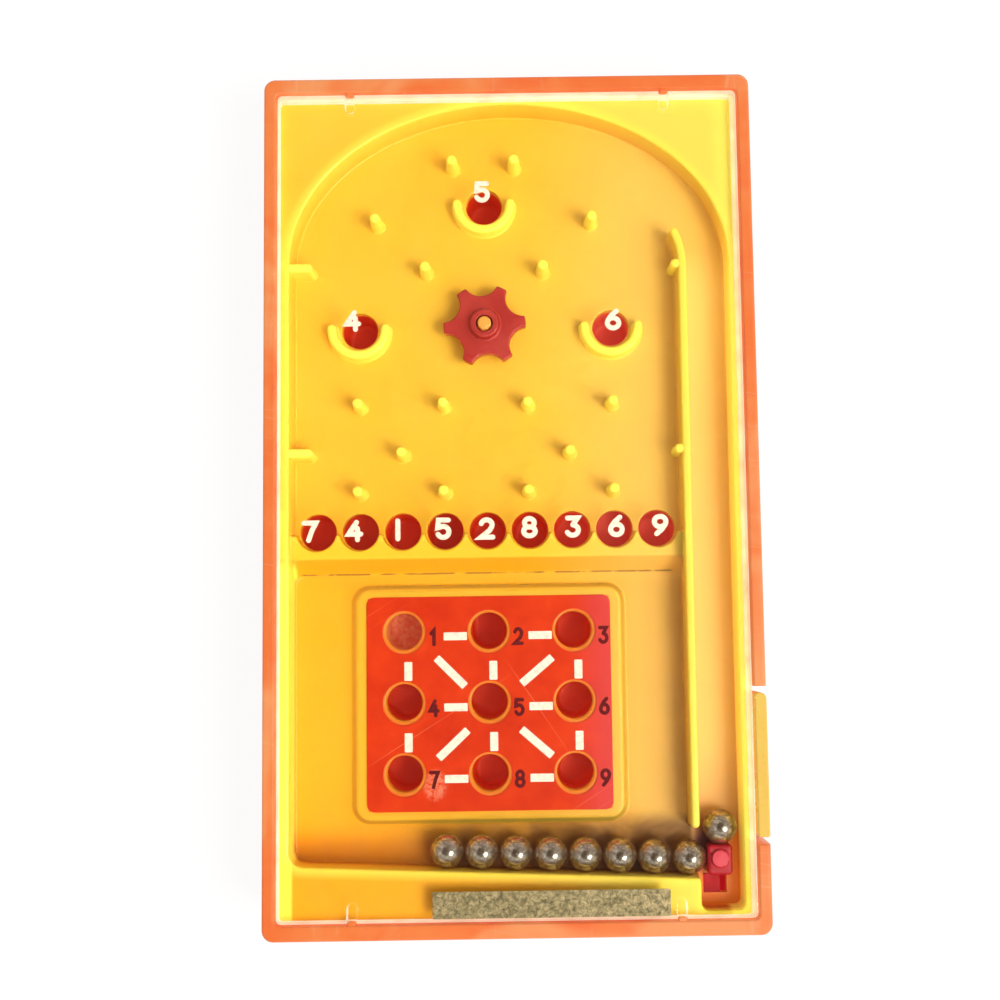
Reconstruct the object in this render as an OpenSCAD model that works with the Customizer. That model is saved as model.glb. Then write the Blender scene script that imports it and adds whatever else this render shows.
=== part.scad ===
// Pocket ball game: a shallow orange case with a clear cover, a yellow play board and a red ball tray.
// X points right and Y up the board as it is played, Z points out of the cover.
// The origin is the middle of the back face. All sizes are in millimetres.

/* [Case] */
// Outer width of the case
case_w = 69; // [68:0.5:76]
// Outer length of the case
case_l = 120; // [119:0.5:130]
// Outer depth of the case
case_h = 18; // [17.8:0.1:20]
// Thickness of the back
back_t = 1.8; // [1.4:0.1:2]
// Thickness of the two long side walls
side_wall = 1.7; // [1.6:0.1:2]
// Thickness of the two end walls
end_wall = 2.1; // [1.8:0.1:2.4]
// Radius of the upright outer corners
case_r = 1.6; // [1:0.1:2]
// How far the rim stands above the cover
rim_up = 0.4; // [0.2:0.1:0.8]
// Gap between the case walls and the parts dropped into it
fit_gap = 0.15; // [0.1:0.05:0.2]

/* [Balls] */
// Diameter of the steel balls
ball_d = 4.76; // [4.5:0.02:4.9]
// Gap between neighbouring balls of the waiting row
ball_gap = 0.03; // [0.02:0.01:0.05]

/* [Board] */
// Thickness of the board floor
board_t = 1.6; // [1.2:0.1:1.8]
// How far the raised edge stands above a ball on the floor
edge_over = 0.14; // [0.1:0.02:0.3]
// Free height above a ball under the cover
head_room = 1.24; // [1:0.02:1.4]
// Width of the raised strips at the left and right edges
edge_strip = 1.45; // [1.3:0.05:1.8]
// Width of the raised band left above the top of the arch
arch_band = 1.05; // [0.8:0.05:1.5]
// Rise of the half-ellipse arch above the straight sides
arch_rise = 23; // [20:0.5:24]
// Width of the wall between the play field and the launch lane
divider_w = 1.3; // [1:0.1:1.5]
// Side play of a ball in the launch lane
lane_clear = 1.14; // [1:0.02:1.3]
// Clearance of the numbered holes around a ball
hole_clear = 0.44; // [0.4:0.02:0.6]
// Diameter of a pin at its foot
pin_d = 1.6; // [1.4:0.1:1.8]
// Height of the low walls, half a ball high
low_wall_h = 2.3; // [2:0.1:2.6]
// Thickness of the cup walls
cup_wall = 1.15; // [1:0.05:1.3]
// Gap between a top hole and its cup wall
cup_gap = 0.6; // [0.5:0.05:0.8]

/* [Rows and grid] */
// Distance of the row of nine holes from the bottom of the case
row_from_end = 55.8; // [55.5:0.1:56.5]
// Spacing of the nine holes
row_pitch = 6.05; // [6:0.01:6.1]
// Column spacing of the three by three grid
grid_dx = 12; // [11.9:0.05:12.2]
// Line spacing of the three by three grid
grid_dy = 9.95; // [9.8:0.05:10.1]
// Distance of the first grid line below the row of holes
grid_drop = 14.3; // [14.2:0.1:14.8]
// Height of the raised panel around the grid
panel_up = 1; // [0.6:0.1:1.4]

/* [Grid sticker] */
// Width of the sticker
sticker_w = 34.5; // [33:0.1:35]
// Height of the sticker
sticker_l = 30; // [29:0.1:30.5]
// Thickness of the sticker
sticker_t = 0.2; // [0.1:0.05:0.3]
// Extra radius of its holes around the board holes
sticker_ring = 0.35; // [0.2:0.05:0.5]
// Width of the raised panel left around the sticker
panel_margin = 1.5; // [1:0.1:1.8]

/* [Cover] */
// Thickness of the clear plate
cover_t = 1.4; // [1:0.1:1.5]
// Thickness of its side walls
cover_wall = 1; // [0.8:0.1:1.1]
// Width of the four snap notches
notch_w = 1.3; // [1:0.1:1.8]
// Distance of the notches from the centre line
notch_x = 22.35; // [18:0.05:26]

/* [Foil label] */
// Width of the bare foil label
label_w = 32.2; // [28:0.1:36]
// Height of the bare foil label
label_l = 3.6; // [3:0.1:3.8]
// Thickness of the foil
label_t = 0.12; // [0.08:0.02:0.3]

/* [Star wheel] */
// Radius over the six tips
star_r = 5.9; // [5.6:0.1:6.2]
// Thickness of the toothed plate
star_t = 1.8; // [1.5:0.1:2]
// Diameter of the hub
hub_d = 4.2; // [3.8:0.1:4.6]
// Diameter of the post that carries the wheel
post_d = 1.95; // [1.7:0.05:2.1]
// Running clearance of the wheel on its post, on the diameter
post_play = 0.16; // [0.1:0.02:0.2]
// Running gap under the hub
hub_gap = 0.2; // [0.1:0.05:0.3]

/* [Finger lever] */
// Length of the notch in the case wall
lever_notch = 21.3; // [21:0.1:22]
// Distance of the lower end of the notch from the bottom of the case
notch_from_end = 12.05; // [11.8:0.05:12.5]
// Gap under the free end of the lever, for a fingernail
nail_gap = 0.95; // [0.8:0.05:1.2]
// Gap over the hinged end of the lever
hinge_gap = 0.75; // [0.7:0.05:1]
// Thickness of the lever plate
lever_t = 1.6; // [1.5:0.05:1.6]
// Diameter of the steel hinge pin
lever_pin_d = 0.8; // [0.7:0.05:0.9]
// Clearance of the lever on its pin, on the diameter
lever_play = 0.1; // [0.08:0.02:0.14]
// Length of the inner crank arm
crank_r = 5.58; // [5.4:0.02:5.7]
// How far the lever swings out, in degrees
lever_swing = 42; // [36:1:42]

/* [Hammer] */
// Width of the hammer head
head_w = 3.8; // [3.4:0.1:4]
// Length of the hammer head
head_l = 4.2; // [4:0.1:4.3]
// Distance of the hammer's striking face from the bottom of the case
hammer_from_end = 11.55; // [11.5:0.05:11.6]
// Diameter of the hammer rod
rod_d = 2.2; // [2:0.1:2.3]
// Running clearance of the rod in its guide, on the diameter
rod_play = 0.16; // [0.1:0.02:0.2]
// Width of the neck that joins the rod to the head
neck_w = 1; // [0.9:0.1:1.2]
// Running clearance beside the neck
neck_play = 0.15; // [0.1:0.05:0.2]

/* [Spring] */
// Wire diameter of the return spring
wire_d = 0.4; // [0.35:0.05:0.5]
// Curls of the return spring
spring_curls = 9; // [8:1:10]
// Gap between the rod and the spring
spring_gap = 0.35; // [0.25:0.05:0.4]

/* [Ball tray] */
// Thickness of the tray floor
tray_floor = 1.2; // [1:0.1:1.4]
// Side play of a ball in the tray channels
channel_clear = 0.34; // [0.3:0.02:0.5]

/* [Hidden] */
$fn = 48;
// Balls waiting in the trough, beside the one in the launch lane
row_balls = 8;

// Overlap that joins two solids of one piece, and the gap left between pieces that only touch
bite = 0.5;
touch_gap = 0.03;
ball_r = ball_d / 2;

// Heights, from the cover down to the back
cover_top_z = case_h - rim_up;
cover_z = cover_top_z - cover_t;
floor_z = cover_z - head_room - ball_d;
board_z = floor_z - board_t;
edge_z = floor_z + ball_d + edge_over;
tray_h = board_z - back_t;
ball_z = floor_z + ball_r + touch_gap;

// Inside of the case and outline of the board, seen from above
inner_w = case_w - 2 * side_wall;
inner_l = case_l - 2 * end_wall;
board_w = inner_w - 2 * fit_gap;
board_l = inner_l - 2 * fit_gap;
end_y = -case_l / 2;

// Play field: its left wall, the lane wall on the right, and the divider between field and lane
wall_x = board_w / 2 - edge_strip;
lane_w = ball_d + lane_clear;
divider_x = wall_x - lane_w - divider_w / 2;
field_right = divider_x - divider_w / 2;
field_cx = (field_right - wall_x) / 2;
lane_cx = wall_x - lane_w / 2;
arch_top_y = board_l / 2 - arch_band;
arch_y = arch_top_y - arch_rise;
row_y = end_y + row_from_end;
hole_d = ball_d + hole_clear;

// Heights above the row are given for a field of this height from the row to the top of the arch,
// and they spread with the field
given_h = 60.9;
function up(h) = row_y + h * (arch_top_y - row_y) / given_h;

// Pins in mirrored pairs about the middle of the field: distance from the middle, height above the row
PINS = [[4.45, 53], [15.5, 44.6], [8.4, 37.5], [6, 17.9], [18.05, 17.9],
    [11.9, 10.9], [6, 5.4], [18.05, 5.4]];
pin_tip_d = 1.25;
// Short pegs on both side walls, by height above the row
PEGS = [37.5, 10.9];
peg_reach = 2.5;
peg_stub = 1.1;
// The three top holes with cups: steps of the row spacing from the middle, height above the row
CUPS = [[-3, 29.2], [0, 47.4], [3, 29.2]];
cup_r = hole_d / 2 + cup_gap + cup_wall / 2;
star_up = 29.2;

// Ledge behind the row of holes and the slope down to the recess
ledge_front = 0.55;
ledge_back = 4;
slope_foot = 6.1;
notch_r = hole_d / 2 + 0.15;

// Trough along the bottom of the recess, falling to the right
trough_fall = 2.3;
trough_up = 9.65;
function trough_y(x) = end_y + trough_up - (x + wall_x) * tan(trough_fall);
pocket_end_y = end_y + end_wall + fit_gap + 0.75;
pocket_r = 1;
trough_r = 2;
divider_end_y = end_y + 13.95;

// Hammer, its rod and its slot
hammer_y = end_y + hammer_from_end;
head_x = lane_cx;
rod_x = lane_cx + 0.4;
rod_z = back_t + tray_h / 2;
head_z = floor_z + 0.15;
head_h = 3.05;
boss_d = 2.4;
boss_up = 0.5;
collar_d = 4;
collar_t = 1.2;
slot_w = neck_w + 2 * neck_play;
guide_t = 1.8;
guide_y = end_y + 13.6;
key_w = 1.95;
key_play = 0.1;

// Lever: hinge axis, crank arm and the stroke that it gives the hammer
notch_end_y = end_y + notch_from_end;
notch_top_y = notch_end_y + lever_notch;
knuckle_r = 0.9;
hinge_x = case_w / 2 - knuckle_r;
hinge_y = notch_top_y - hinge_gap - knuckle_r - 0.1;
crank_rise = lever_swing / 2;
crank_w = 1.2;
nose_r = 1.3;
nose_x = hinge_x - crank_r * cos(crank_rise);
nose_y = hinge_y + crank_r * sin(crank_rise);
stroke = 2 * crank_r * sin(crank_rise);
rod_y = nose_y - nose_r - touch_gap;
collar_y = rod_y - 0.9;
lever_low_z = back_t + 0.2;
ear_gap = 0.2;
crank_h = 4;
crank_z = rod_z - crank_h / 2;
stop_l = 1.4;
pin_z = 0.6;
pin_cap = 1.6;

// Ball tray: channels as paths from a row hole (steps of the spacing) to a grid hole (column, line)
bay_x = divider_x + 0.3;
bay_top_y = end_y + 38;
channel_w = ball_d + channel_clear;
LANES = [[-4, -1, 3], [-3, -1, 2], [-2, -1, 1], [-1, 0, 2], [0, 0, 1],
    [1, 0, 3], [2, 1, 1], [3, 1, 2], [4, 1, 3]];
top_run = 12;
function row_x(i) = field_cx + i * row_pitch;
function grid_x(c) = field_cx + c * grid_dx;
function grid_y(l) = row_y - grid_drop - (l - 1) * grid_dy;
grid_mid_y = grid_y(2) - 0.2;

// Outline helpers: arcs, rounded boxes and ribbons with round ends along a path
function arc(c, r, a0, a1, n) = [for (k = [0:n]) let(a = a0 + (a1 - a0) * k / n) c + r * [cos(a), sin(a)]];
function round_box(w, l, r, n = 6) = concat(
    arc([w / 2 - r, l / 2 - r], r, 0, 90, n), arc([r - w / 2, l / 2 - r], r, 90, 180, n),
    arc([r - w / 2, r - l / 2], r, 180, 270, n), arc([w / 2 - r, r - l / 2], r, 270, 360, n));
function way(p, i) = (p[i + 1] - p[i]) / norm(p[i + 1] - p[i]);
function left(v) = [-v.y, v.x];
function side(p, i) = i == 0 ? left(way(p, 0))
    : i == len(p) - 1 ? left(way(p, i - 1))
    : let(a = left(way(p, i - 1)), b = left(way(p, i))) (a + b) / (1 + a * b);
function cap(c, d, r, n) = [for (k = [1:n - 1])
    let(a = 90 - 180 * k / n) c + r * (cos(a) * d + sin(a) * left(d))];
function ribbon(p, w, n = 8) = let(m = len(p) - 1) concat(
    [for (i = [0:m]) p[i] + side(p, i) * w / 2], cap(p[m], way(p, m - 1), w / 2, n),
    [for (i = [m:-1:0]) p[i] - side(p, i) * w / 2], cap(p[0], -way(p, 0), w / 2, n));

// A plate of the given outline from height z to height z + h
module slab(points, z, h) translate([0, 0, z]) linear_extrude(h) polygon(points);

// The case: a tray with four walls, a notch for the lever, snap bumps, and the guides of the hammer
module case() {
    inner_r = 0.8;
    lug_y0 = hinge_y - knuckle_r - 0.3;
    lug_y1 = hinge_y + knuckle_r;
    cut_x = inner_w / 2 - 0.05;
    color("coral") {
        difference() {
            slab(round_box(case_w, case_l, case_r), 0, case_h);
            slab(round_box(inner_w, inner_l, inner_r), back_t, case_h);
            translate([cut_x, notch_end_y, -1]) cube([case_w, lever_notch, case_h + 2]);
        }
        difference() {
            translate([cut_x - bite, lug_y0, 0]) cube([case_w / 2 - cut_x + bite, lug_y1 - lug_y0, back_t]);
            translate([hinge_x, hinge_y, pin_z]) cylinder(d = lever_pin_d, h = back_t);
        }
        rod_guide();
        translate([nose_x - 1.5, nose_y + nose_r + touch_gap, back_t - bite])
            cube([3, stop_l, crank_z + crank_h - back_t + bite]);
        for (x = [-1, 1], y = [-1, 1]) snap_bump(x * notch_x, y);
    }
}

// Upright saddle on the back that carries the hammer rod and stops the spring
module rod_guide() {
    saddle_w = 4.4;
    open_d = rod_d + rod_play;
    translate([rod_x, guide_y, 0]) difference() {
        translate([-saddle_w / 2, 0, back_t - bite])
            cube([saddle_w, guide_t, board_z - touch_gap - back_t + bite]);
        translate([0, -1, rod_z]) rotate([-90, 0, 0]) cylinder(d = open_d, h = guide_t + 2);
        translate([-open_d / 2, -1, rod_z]) cube([open_d, guide_t + 2, tray_h]);
    }
}

// Bump under the rim that holds the cover down in one of its notches; side is 1 at the top, -1 below
module snap_bump(x, side) {
    reach = 0.45;
    y = side * (inner_l / 2 + (bite - reach) / 2);
    translate([x, y, cover_top_z - 0.35]) cube([notch_w - 0.2, reach + bite, 1.1], center = true);
}

// Outline of the sunk play field, with the launch lane and the hammer pocket
function field_outline() = concat(
    arc([trough_r - wall_x, trough_y(trough_r - wall_x) + trough_r / cos(trough_fall)], trough_r,
        180, 270 - trough_fall, 6),
    [[divider_x + divider_w / 2, trough_y(divider_x)]],
    arc([divider_x + divider_w / 2 + pocket_r, pocket_end_y + pocket_r], pocket_r, 180, 270, 4),
    arc([wall_x - pocket_r, pocket_end_y + pocket_r], pocket_r, 270, 360, 4),
    [for (k = [0:56]) [wall_x * cos(180 * k / 56), arch_y + arch_rise * sin(180 * k / 56)]]);

// Wall between field and lane: straight, with its upper end bent towards the field
function divider_path() = let(bend_r = 10.2, y1 = arch_y - 0.3) concat(
    [[divider_x, divider_end_y]], arc([divider_x - bend_r, y1], bend_r, 0, 26, 6));

// The board: floor, divider, pins, pegs, cups, ledge, panel and star post
module board() {
    color("gold") difference() {
        union() {
            slab(round_box(board_w, board_l, 0.7), board_z, board_t);
            slab(ribbon(divider_path(), divider_w), floor_z - bite, edge_z - floor_z + bite);
            pins_and_pegs();
            for (c = CUPS) translate([row_x(c[0]), up(c[1])])
                slab(ribbon(arc([0, 0], cup_r, 180, 360, 16), cup_wall), floor_z - bite, low_wall_h + bite);
            ledge();
            panel();
            translate([field_cx, up(star_up), floor_z - bite])
                cylinder(d = post_d, h = edge_z - floor_z + bite - 0.1);
            hinge_ear();
        }
        for (i = [-4:4]) {
            translate([row_x(i), row_y, board_z - 1]) cylinder(d = hole_d, h = board_t + 2);
            translate([row_x(i), row_y, floor_z]) cylinder(r = notch_r, h = edge_z);
        }
        for (c = CUPS) translate([row_x(c[0]), up(c[1]), board_z - 1])
            cylinder(d = hole_d, h = board_t + 2);
        for (c = [-1:1], l = [1:3]) translate([grid_x(c), grid_y(l), board_z - 1])
            cylinder(d = hole_d, h = edge_z);
        hammer_slot();
        translate([hinge_x, hinge_y, board_z - 1]) cylinder(d = lever_pin_d + lever_play, h = board_t + 2);
    }
}

// The raised edge of the board, with the arch. It is moulded on the floor, and is a solid of its own here
module board_edge() {
    color("gold") difference() {
        slab(round_box(board_w, board_l, 0.7), floor_z, edge_z - floor_z);
        slab(field_outline(), floor_z - 1, edge_z);
    }
}

// Tapered pins with rounded tips on the field, and pegs of the same height on its two walls
module pins_and_pegs() {
    foot_r = pin_d / 2;
    tip_r = pin_tip_d / 2;
    h = edge_z - floor_z;
    peg_w = pin_d - 0.2;
    profile = [[0, -bite], [foot_r, -bite], [foot_r, 0],
        [tip_r, h - 0.5], [tip_r * 0.72, h - 0.15], [0, h]];
    for (s = [-1, 1], p = PINS) translate([field_cx + s * p[0], up(p[1]), floor_z])
        rotate_extrude($fn = 32) polygon(profile);
    for (y = PEGS) {
        translate([touch_gap - wall_x, up(y) - peg_w / 2, floor_z - bite])
            cube([peg_reach - touch_gap, peg_w, h + bite - 0.1]);
        translate([peg_reach - wall_x, up(y), floor_z - bite]) cylinder(d = peg_w, h = h + bite - 0.1);
        slab(ribbon([[field_right - peg_stub + pin_d / 2, up(y)], [divider_x, up(y)]], peg_w),
            floor_z - bite, h + bite - 0.1);
    }
}

// Low ledge behind the nine holes, with a slope down into the recess
module ledge() {
    section = [[-ledge_front, -bite], [-ledge_front, low_wall_h], [-ledge_back, low_wall_h],
        [-slope_foot, 0], [-slope_foot, -bite]];
    translate([-wall_x, row_y, floor_z]) rotate([90, 0, 90])
        linear_extrude(field_right + wall_x + bite) polygon(section);
}

// Raised panel that carries the grid sticker
module panel() {
    outline = round_box(sticker_w + 2 * panel_margin, sticker_l + 1.5 * panel_margin, 2);
    translate([field_cx, grid_mid_y]) slab(outline, floor_z - bite, panel_up + bite);
}

// Slot for the neck of the hammer, and beside its lower end the window for the tray key
module hammer_slot() {
    y0 = pocket_end_y + 0.15;
    translate([rod_x - slot_w / 2, y0, board_z - 1]) cube([slot_w, hammer_y - y0, board_t + 2]);
    translate([rod_x - slot_w / 2 - key_w - bite, y0, board_z - 1])
        cube([key_w + 2 * bite, key_l() + 2 * key_play, board_t + 2]);
}
function key_l() = 3.5;

// Ear at the edge of the board that holds the hinge pin between the two knuckles of the lever
module hinge_ear() {
    translate([hinge_x, hinge_y, board_z]) cylinder(r = knuckle_r - 0.1, h = board_t);
    translate([board_w / 2 - bite, hinge_y - knuckle_r + 0.25, board_z])
        cube([hinge_x - board_w / 2 + bite, 2 * knuckle_r - 0.5, board_t]);
}

// The clear cover: a plate with low walls that stand on the raised edge of the board
module cover() {
    gap = fit_gap + 0.05;
    w = inner_w - 2 * gap;
    l = inner_l - 2 * gap;
    color("lightcyan", 0.4) difference() {
        slab(round_box(w, l, 0.7), edge_z, cover_top_z - edge_z);
        slab(round_box(w - 2 * cover_wall, l - 2 * cover_wall, 0.5), edge_z - 1, cover_z - edge_z + 1);
        for (x = [-1, 1], y = [-1, 1]) translate([x * notch_x, y * l / 2, cover_top_z])
            cube([notch_w, 1.3, 2], center = true);
    }
}

// The printed sticker on the raised panel, with a hole around each grid hole
module grid_sticker() {
    color("orangered") difference() {
        translate([field_cx, grid_mid_y])
            slab(round_box(sticker_w, sticker_l, 1.1), floor_z + panel_up, sticker_t);
        for (c = [-1:1], l = [1:3]) translate([grid_x(c), grid_y(l), floor_z])
            cylinder(r = hole_d / 2 + sticker_ring, h = edge_z);
    }
}

// The bare foil label on the lower end of the cover
module foil_label() {
    color("darkkhaki") translate([4.7 - label_w / 2, -inner_l / 2 + fit_gap + 0.5, cover_top_z])
        cube([label_w, label_l, label_t]);
}

// The star wheel: a plate with six tips between round scallops, on a hub that runs on the post
module star_wheel() {
    scallop_r = 2.6;
    scallop_at = star_r + 0.9;
    turn = 4.3;
    hub_z = floor_z + hub_gap;
    plate_z = floor_z + 1.7;
    color("crimson") translate([field_cx, up(star_up)]) difference() {
        union() {
            translate([0, 0, plate_z]) cylinder(r = star_r, h = star_t);
            translate([0, 0, hub_z]) cylinder(d = hub_d, h = edge_z - 0.4 - hub_z);
        }
        for (k = [0:5]) rotate(turn + 30 + 60 * k) translate([scallop_at, 0, plate_z - 0.5])
            cylinder(r = scallop_r, h = star_t + 1);
        translate([0, 0, floor_z]) cylinder(d = post_d + post_play, h = edge_z);
    }
}

// The finger lever: a plate flush with the case wall, two knuckles on the hinge pin, and the crank arm
module lever() {
    plate_x = case_w / 2 - lever_t;
    plate_y = notch_end_y + nail_gap;
    ear_z0 = board_z - ear_gap;
    ear_z1 = floor_z + ear_gap;
    color("gold") difference() {
        union() {
            translate([plate_x, plate_y, 0.3]) cube([lever_t, hinge_y - plate_y, case_h - 0.3]);
            translate([hinge_x, hinge_y, 0.3]) cylinder(r = knuckle_r, h = case_h - 0.3);
            slab(ribbon([[hinge_x, hinge_y], [nose_x, nose_y]], crank_w), crank_z, crank_h);
            translate([nose_x, nose_y, crank_z]) cylinder(r = nose_r, h = crank_h);
        }
        translate([hinge_x, hinge_y, ear_z0]) cylinder(r = knuckle_r + 0.5, h = ear_z1 - ear_z0);
        translate([hinge_x, hinge_y, -1]) cylinder(r = knuckle_r + 0.6, h = lever_low_z + 1);
        translate([hinge_x, hinge_y, 0])
            cylinder(d = lever_pin_d + lever_play, h = case_h - pin_cap + 0.4);
    }
}

// The steel hinge pin of the lever, pressed into the back and held by the ear of the board
module lever_pin() {
    color("silver") translate([hinge_x, hinge_y, pin_z])
        cylinder(d = lever_pin_d, h = case_h - pin_cap - pin_z);
}

// The hammer: a head in the lane with a round boss, a neck through the slot, and the rod with its collar
module hammer() {
    rod_l = rod_y - (hammer_y - head_l + 0.4);
    color("firebrick") {
        translate([head_x - head_w / 2, hammer_y - head_l, head_z]) cube([head_w, head_l, head_h]);
        translate([rod_x + 0.1, hammer_y - 2.45, head_z + head_h - bite])
            cylinder(d = boss_d, h = boss_up + bite);
        translate([rod_x - neck_w / 2, hammer_y - head_l + 0.2, rod_z])
            cube([neck_w, head_l - 0.5, head_z - rod_z + bite]);
        translate([rod_x, rod_y, rod_z]) rotate([90, 0, 0]) cylinder(d = rod_d, h = rod_l);
        translate([rod_x, collar_y, rod_z]) rotate([90, 0, 0]) cylinder(d = collar_d, h = collar_t);
    }
}

// The return spring: one wire wound round the rod, from the collar to the saddle
spring_y0 = guide_y + guide_t + touch_gap + wire_d / 2;
spring_y1 = collar_y - collar_t - touch_gap - wire_d / 2;
coil_r = rod_d / 2 + spring_gap + wire_d / 2;
spring_pitch = (spring_y1 - spring_y0) / spring_curls;
function helix(t) = [coil_r * cos(t), spring_y0 + spring_pitch * t / 360, coil_r * sin(t)];
function wire_ring(t, sides) = let(
    out = [cos(t), 0, sin(t)],
    along = [-coil_r * sin(t), spring_pitch / (2 * PI), coil_r * cos(t)],
    up = cross(along / norm(along), out))
    [for (k = [0:sides - 1]) let(a = 360 * k / sides) helix(t) + wire_d / 2 * (cos(a) * out + sin(a) * up)];
module return_spring() {
    sides = 6;
    rings = 8 * spring_curls;
    points = [for (k = [0:rings]) each wire_ring(45 * k, sides)];
    faces = concat(
        [[for (j = [0:sides - 1]) j]], [[for (j = [sides - 1:-1:0]) rings * sides + j]],
        [for (k = [0:rings - 1], j = [0:sides - 1], half = [0, 1])
            let(a = k * sides + j, b = k * sides + (j + 1) % sides)
            half == 0 ? [a, a + sides, b] : [b, a + sides, b + sides]]);
    color("silver") translate([rod_x, 0, rod_z]) polyhedron(points, faces);
}
// Least gap between neighbouring curls, at rest and with the hammer drawn back
function curl_gap(squeeze) = min([for (k = [0:7]) norm(
    helix(45 * k + 360) - helix(45 * k) - [0, squeeze / spring_curls, 0])]) - wire_d;
echo(spring_gap_at_rest = curl_gap(0), spring_gap_drawn = curl_gap(stroke));

// The red ball tray: a channel from each hole of the row to its grid hole, and the key beside the hammer
function lane_path(n) = let(l = LANES[n], x0 = row_x(l[0]), x1 = grid_x(l[1]), y1 = grid_y(l[2]))
    abs(x1 - x0) < 1 ? [[x0, lane_top(l[0])], [x1, y1]]
    : [[x0, lane_top(l[0])], [x0, y1 + abs(x1 - x0)], [x1, y1]];
function lane_top(i) = abs(i) == 3 ? up(CUPS[0][1]) : row_y;
function top_path() = let(y = up(CUPS[1][1]))
    [[row_x(0), y], [row_x(0), y - top_run], [row_x(-1), y - top_run - row_pitch], [row_x(-1), row_y]];
function tray_outline() = let(corner_r = 0.7, x1 = board_w / 2 - corner_r, y1 = board_l / 2 - corner_r)
    concat(arc([x1, y1], corner_r, 0, 90, 4), arc([-x1, y1], corner_r, 90, 180, 4),
        arc([-x1, -y1], corner_r, 180, 270, 4),
        [[bay_x, -board_l / 2], [bay_x, bay_top_y], [board_w / 2, bay_top_y]]);
// The floor of the tray is a solid of its own here, under the walls between the channels
module tray_base() color("orangered") slab(tray_outline(), back_t, tray_floor);
module ball_tray() {
    key_y = pocket_end_y + 0.15 + key_play;
    key_x = rod_x - slot_w / 2 - key_w;
    under_z = rod_z + rod_d / 2 + 0.4;
    color("orangered") {
        difference() {
            slab(tray_outline(), back_t + tray_floor, tray_h - tray_floor);
            for (n = [0:8]) slab(ribbon(lane_path(n), channel_w), back_t, tray_h + 1);
            slab(ribbon(top_path(), channel_w), back_t, tray_h + 1);
        }
        translate([bay_x - bite, key_y, under_z])
            cube([key_x + key_w - key_play - bay_x + bite, key_l(), board_z - touch_gap - under_z]);
        translate([key_x + key_play, key_y, under_z])
            cube([key_w - 2 * key_play, key_l(), floor_z - 0.05 - under_z]);
    }
}

// Steel balls: one on the hammer at the foot of the lane, the others against it along the trough
module ball(x, y) color("gray") translate([x, y, ball_z]) sphere(d = ball_d, $fn = 64);
function row_ball_at(n) = let(
    last_x = head_x - head_w / 2 - ball_r - 0.1,
    last_y = trough_y(last_x) + (ball_r + touch_gap) / cos(trough_fall),
    back = (row_balls - n) * (ball_d + ball_gap))
    [last_x - back * cos(trough_fall), last_y + back * sin(trough_fall)];
module row_ball(n) ball(row_ball_at(n).x, row_ball_at(n).y);

case();
tray_base();
ball_tray();
board();
board_edge();
cover();
grid_sticker();
foil_label();
star_wheel();
lever();
lever_pin();
hammer();
return_spring();
ball(lane_cx, hammer_y + ball_r + touch_gap);  // lane_ball
row_ball(1);  // row_ball_1
row_ball(2);  // row_ball_2
row_ball(3);  // row_ball_3
row_ball(4);  // row_ball_4
row_ball(5);  // row_ball_5
row_ball(6);  // row_ball_6
row_ball(7);  // row_ball_7
row_ball(8);  // row_ball_8
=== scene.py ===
"""Looks of the pocket ball game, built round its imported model.

The game lies on its back. X points right and Y up the board as it is played, Z points out of the clear cover.
Sizes here are in millimetres and become metres where a mesh is made.
"""

import logging
import math
from collections.abc import Callable, Iterable, Sequence
from dataclasses import dataclass, field
from enum import Enum
from functools import reduce

import bpy
import numpy as np
from mathutils import Euler, Matrix, Vector
from mathutils.geometry import delaunay_2d_cdt


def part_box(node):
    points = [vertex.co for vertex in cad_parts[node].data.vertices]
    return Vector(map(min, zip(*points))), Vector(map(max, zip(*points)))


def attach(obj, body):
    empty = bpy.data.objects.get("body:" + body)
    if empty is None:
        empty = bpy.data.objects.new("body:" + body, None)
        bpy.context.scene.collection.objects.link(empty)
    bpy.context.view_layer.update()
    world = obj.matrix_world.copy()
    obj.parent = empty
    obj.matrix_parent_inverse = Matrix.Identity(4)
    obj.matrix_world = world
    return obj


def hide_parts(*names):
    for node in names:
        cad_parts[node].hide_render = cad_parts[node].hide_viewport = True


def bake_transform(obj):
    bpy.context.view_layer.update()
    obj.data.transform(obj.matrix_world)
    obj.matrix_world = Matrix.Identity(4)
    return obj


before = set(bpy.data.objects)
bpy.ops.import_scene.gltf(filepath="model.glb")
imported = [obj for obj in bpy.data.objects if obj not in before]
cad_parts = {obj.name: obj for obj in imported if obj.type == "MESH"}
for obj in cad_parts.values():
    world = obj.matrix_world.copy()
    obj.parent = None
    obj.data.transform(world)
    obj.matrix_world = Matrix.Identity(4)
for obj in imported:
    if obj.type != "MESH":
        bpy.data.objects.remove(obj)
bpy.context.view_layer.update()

MM = 0.001
TINY = 1e-9
LEAST_R = 0.03
LOG = logging.getLogger("pocket_game")
Points = np.ndarray
Socket = bpy.types.NodeSocket
Material = bpy.types.Material
Pair = tuple[float, float]
Triple = tuple[float, float, float]
Fades = tuple[Pair, ...]
Colour = tuple[int, int, int]
Box = tuple[Vector, Vector]


# Outlines and profiles


class Mode(Enum):
    """How a form changes the surface that it stands on."""

    RAISE = "raise"
    CUT = "cut"
    EDGE = "edge"


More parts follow.
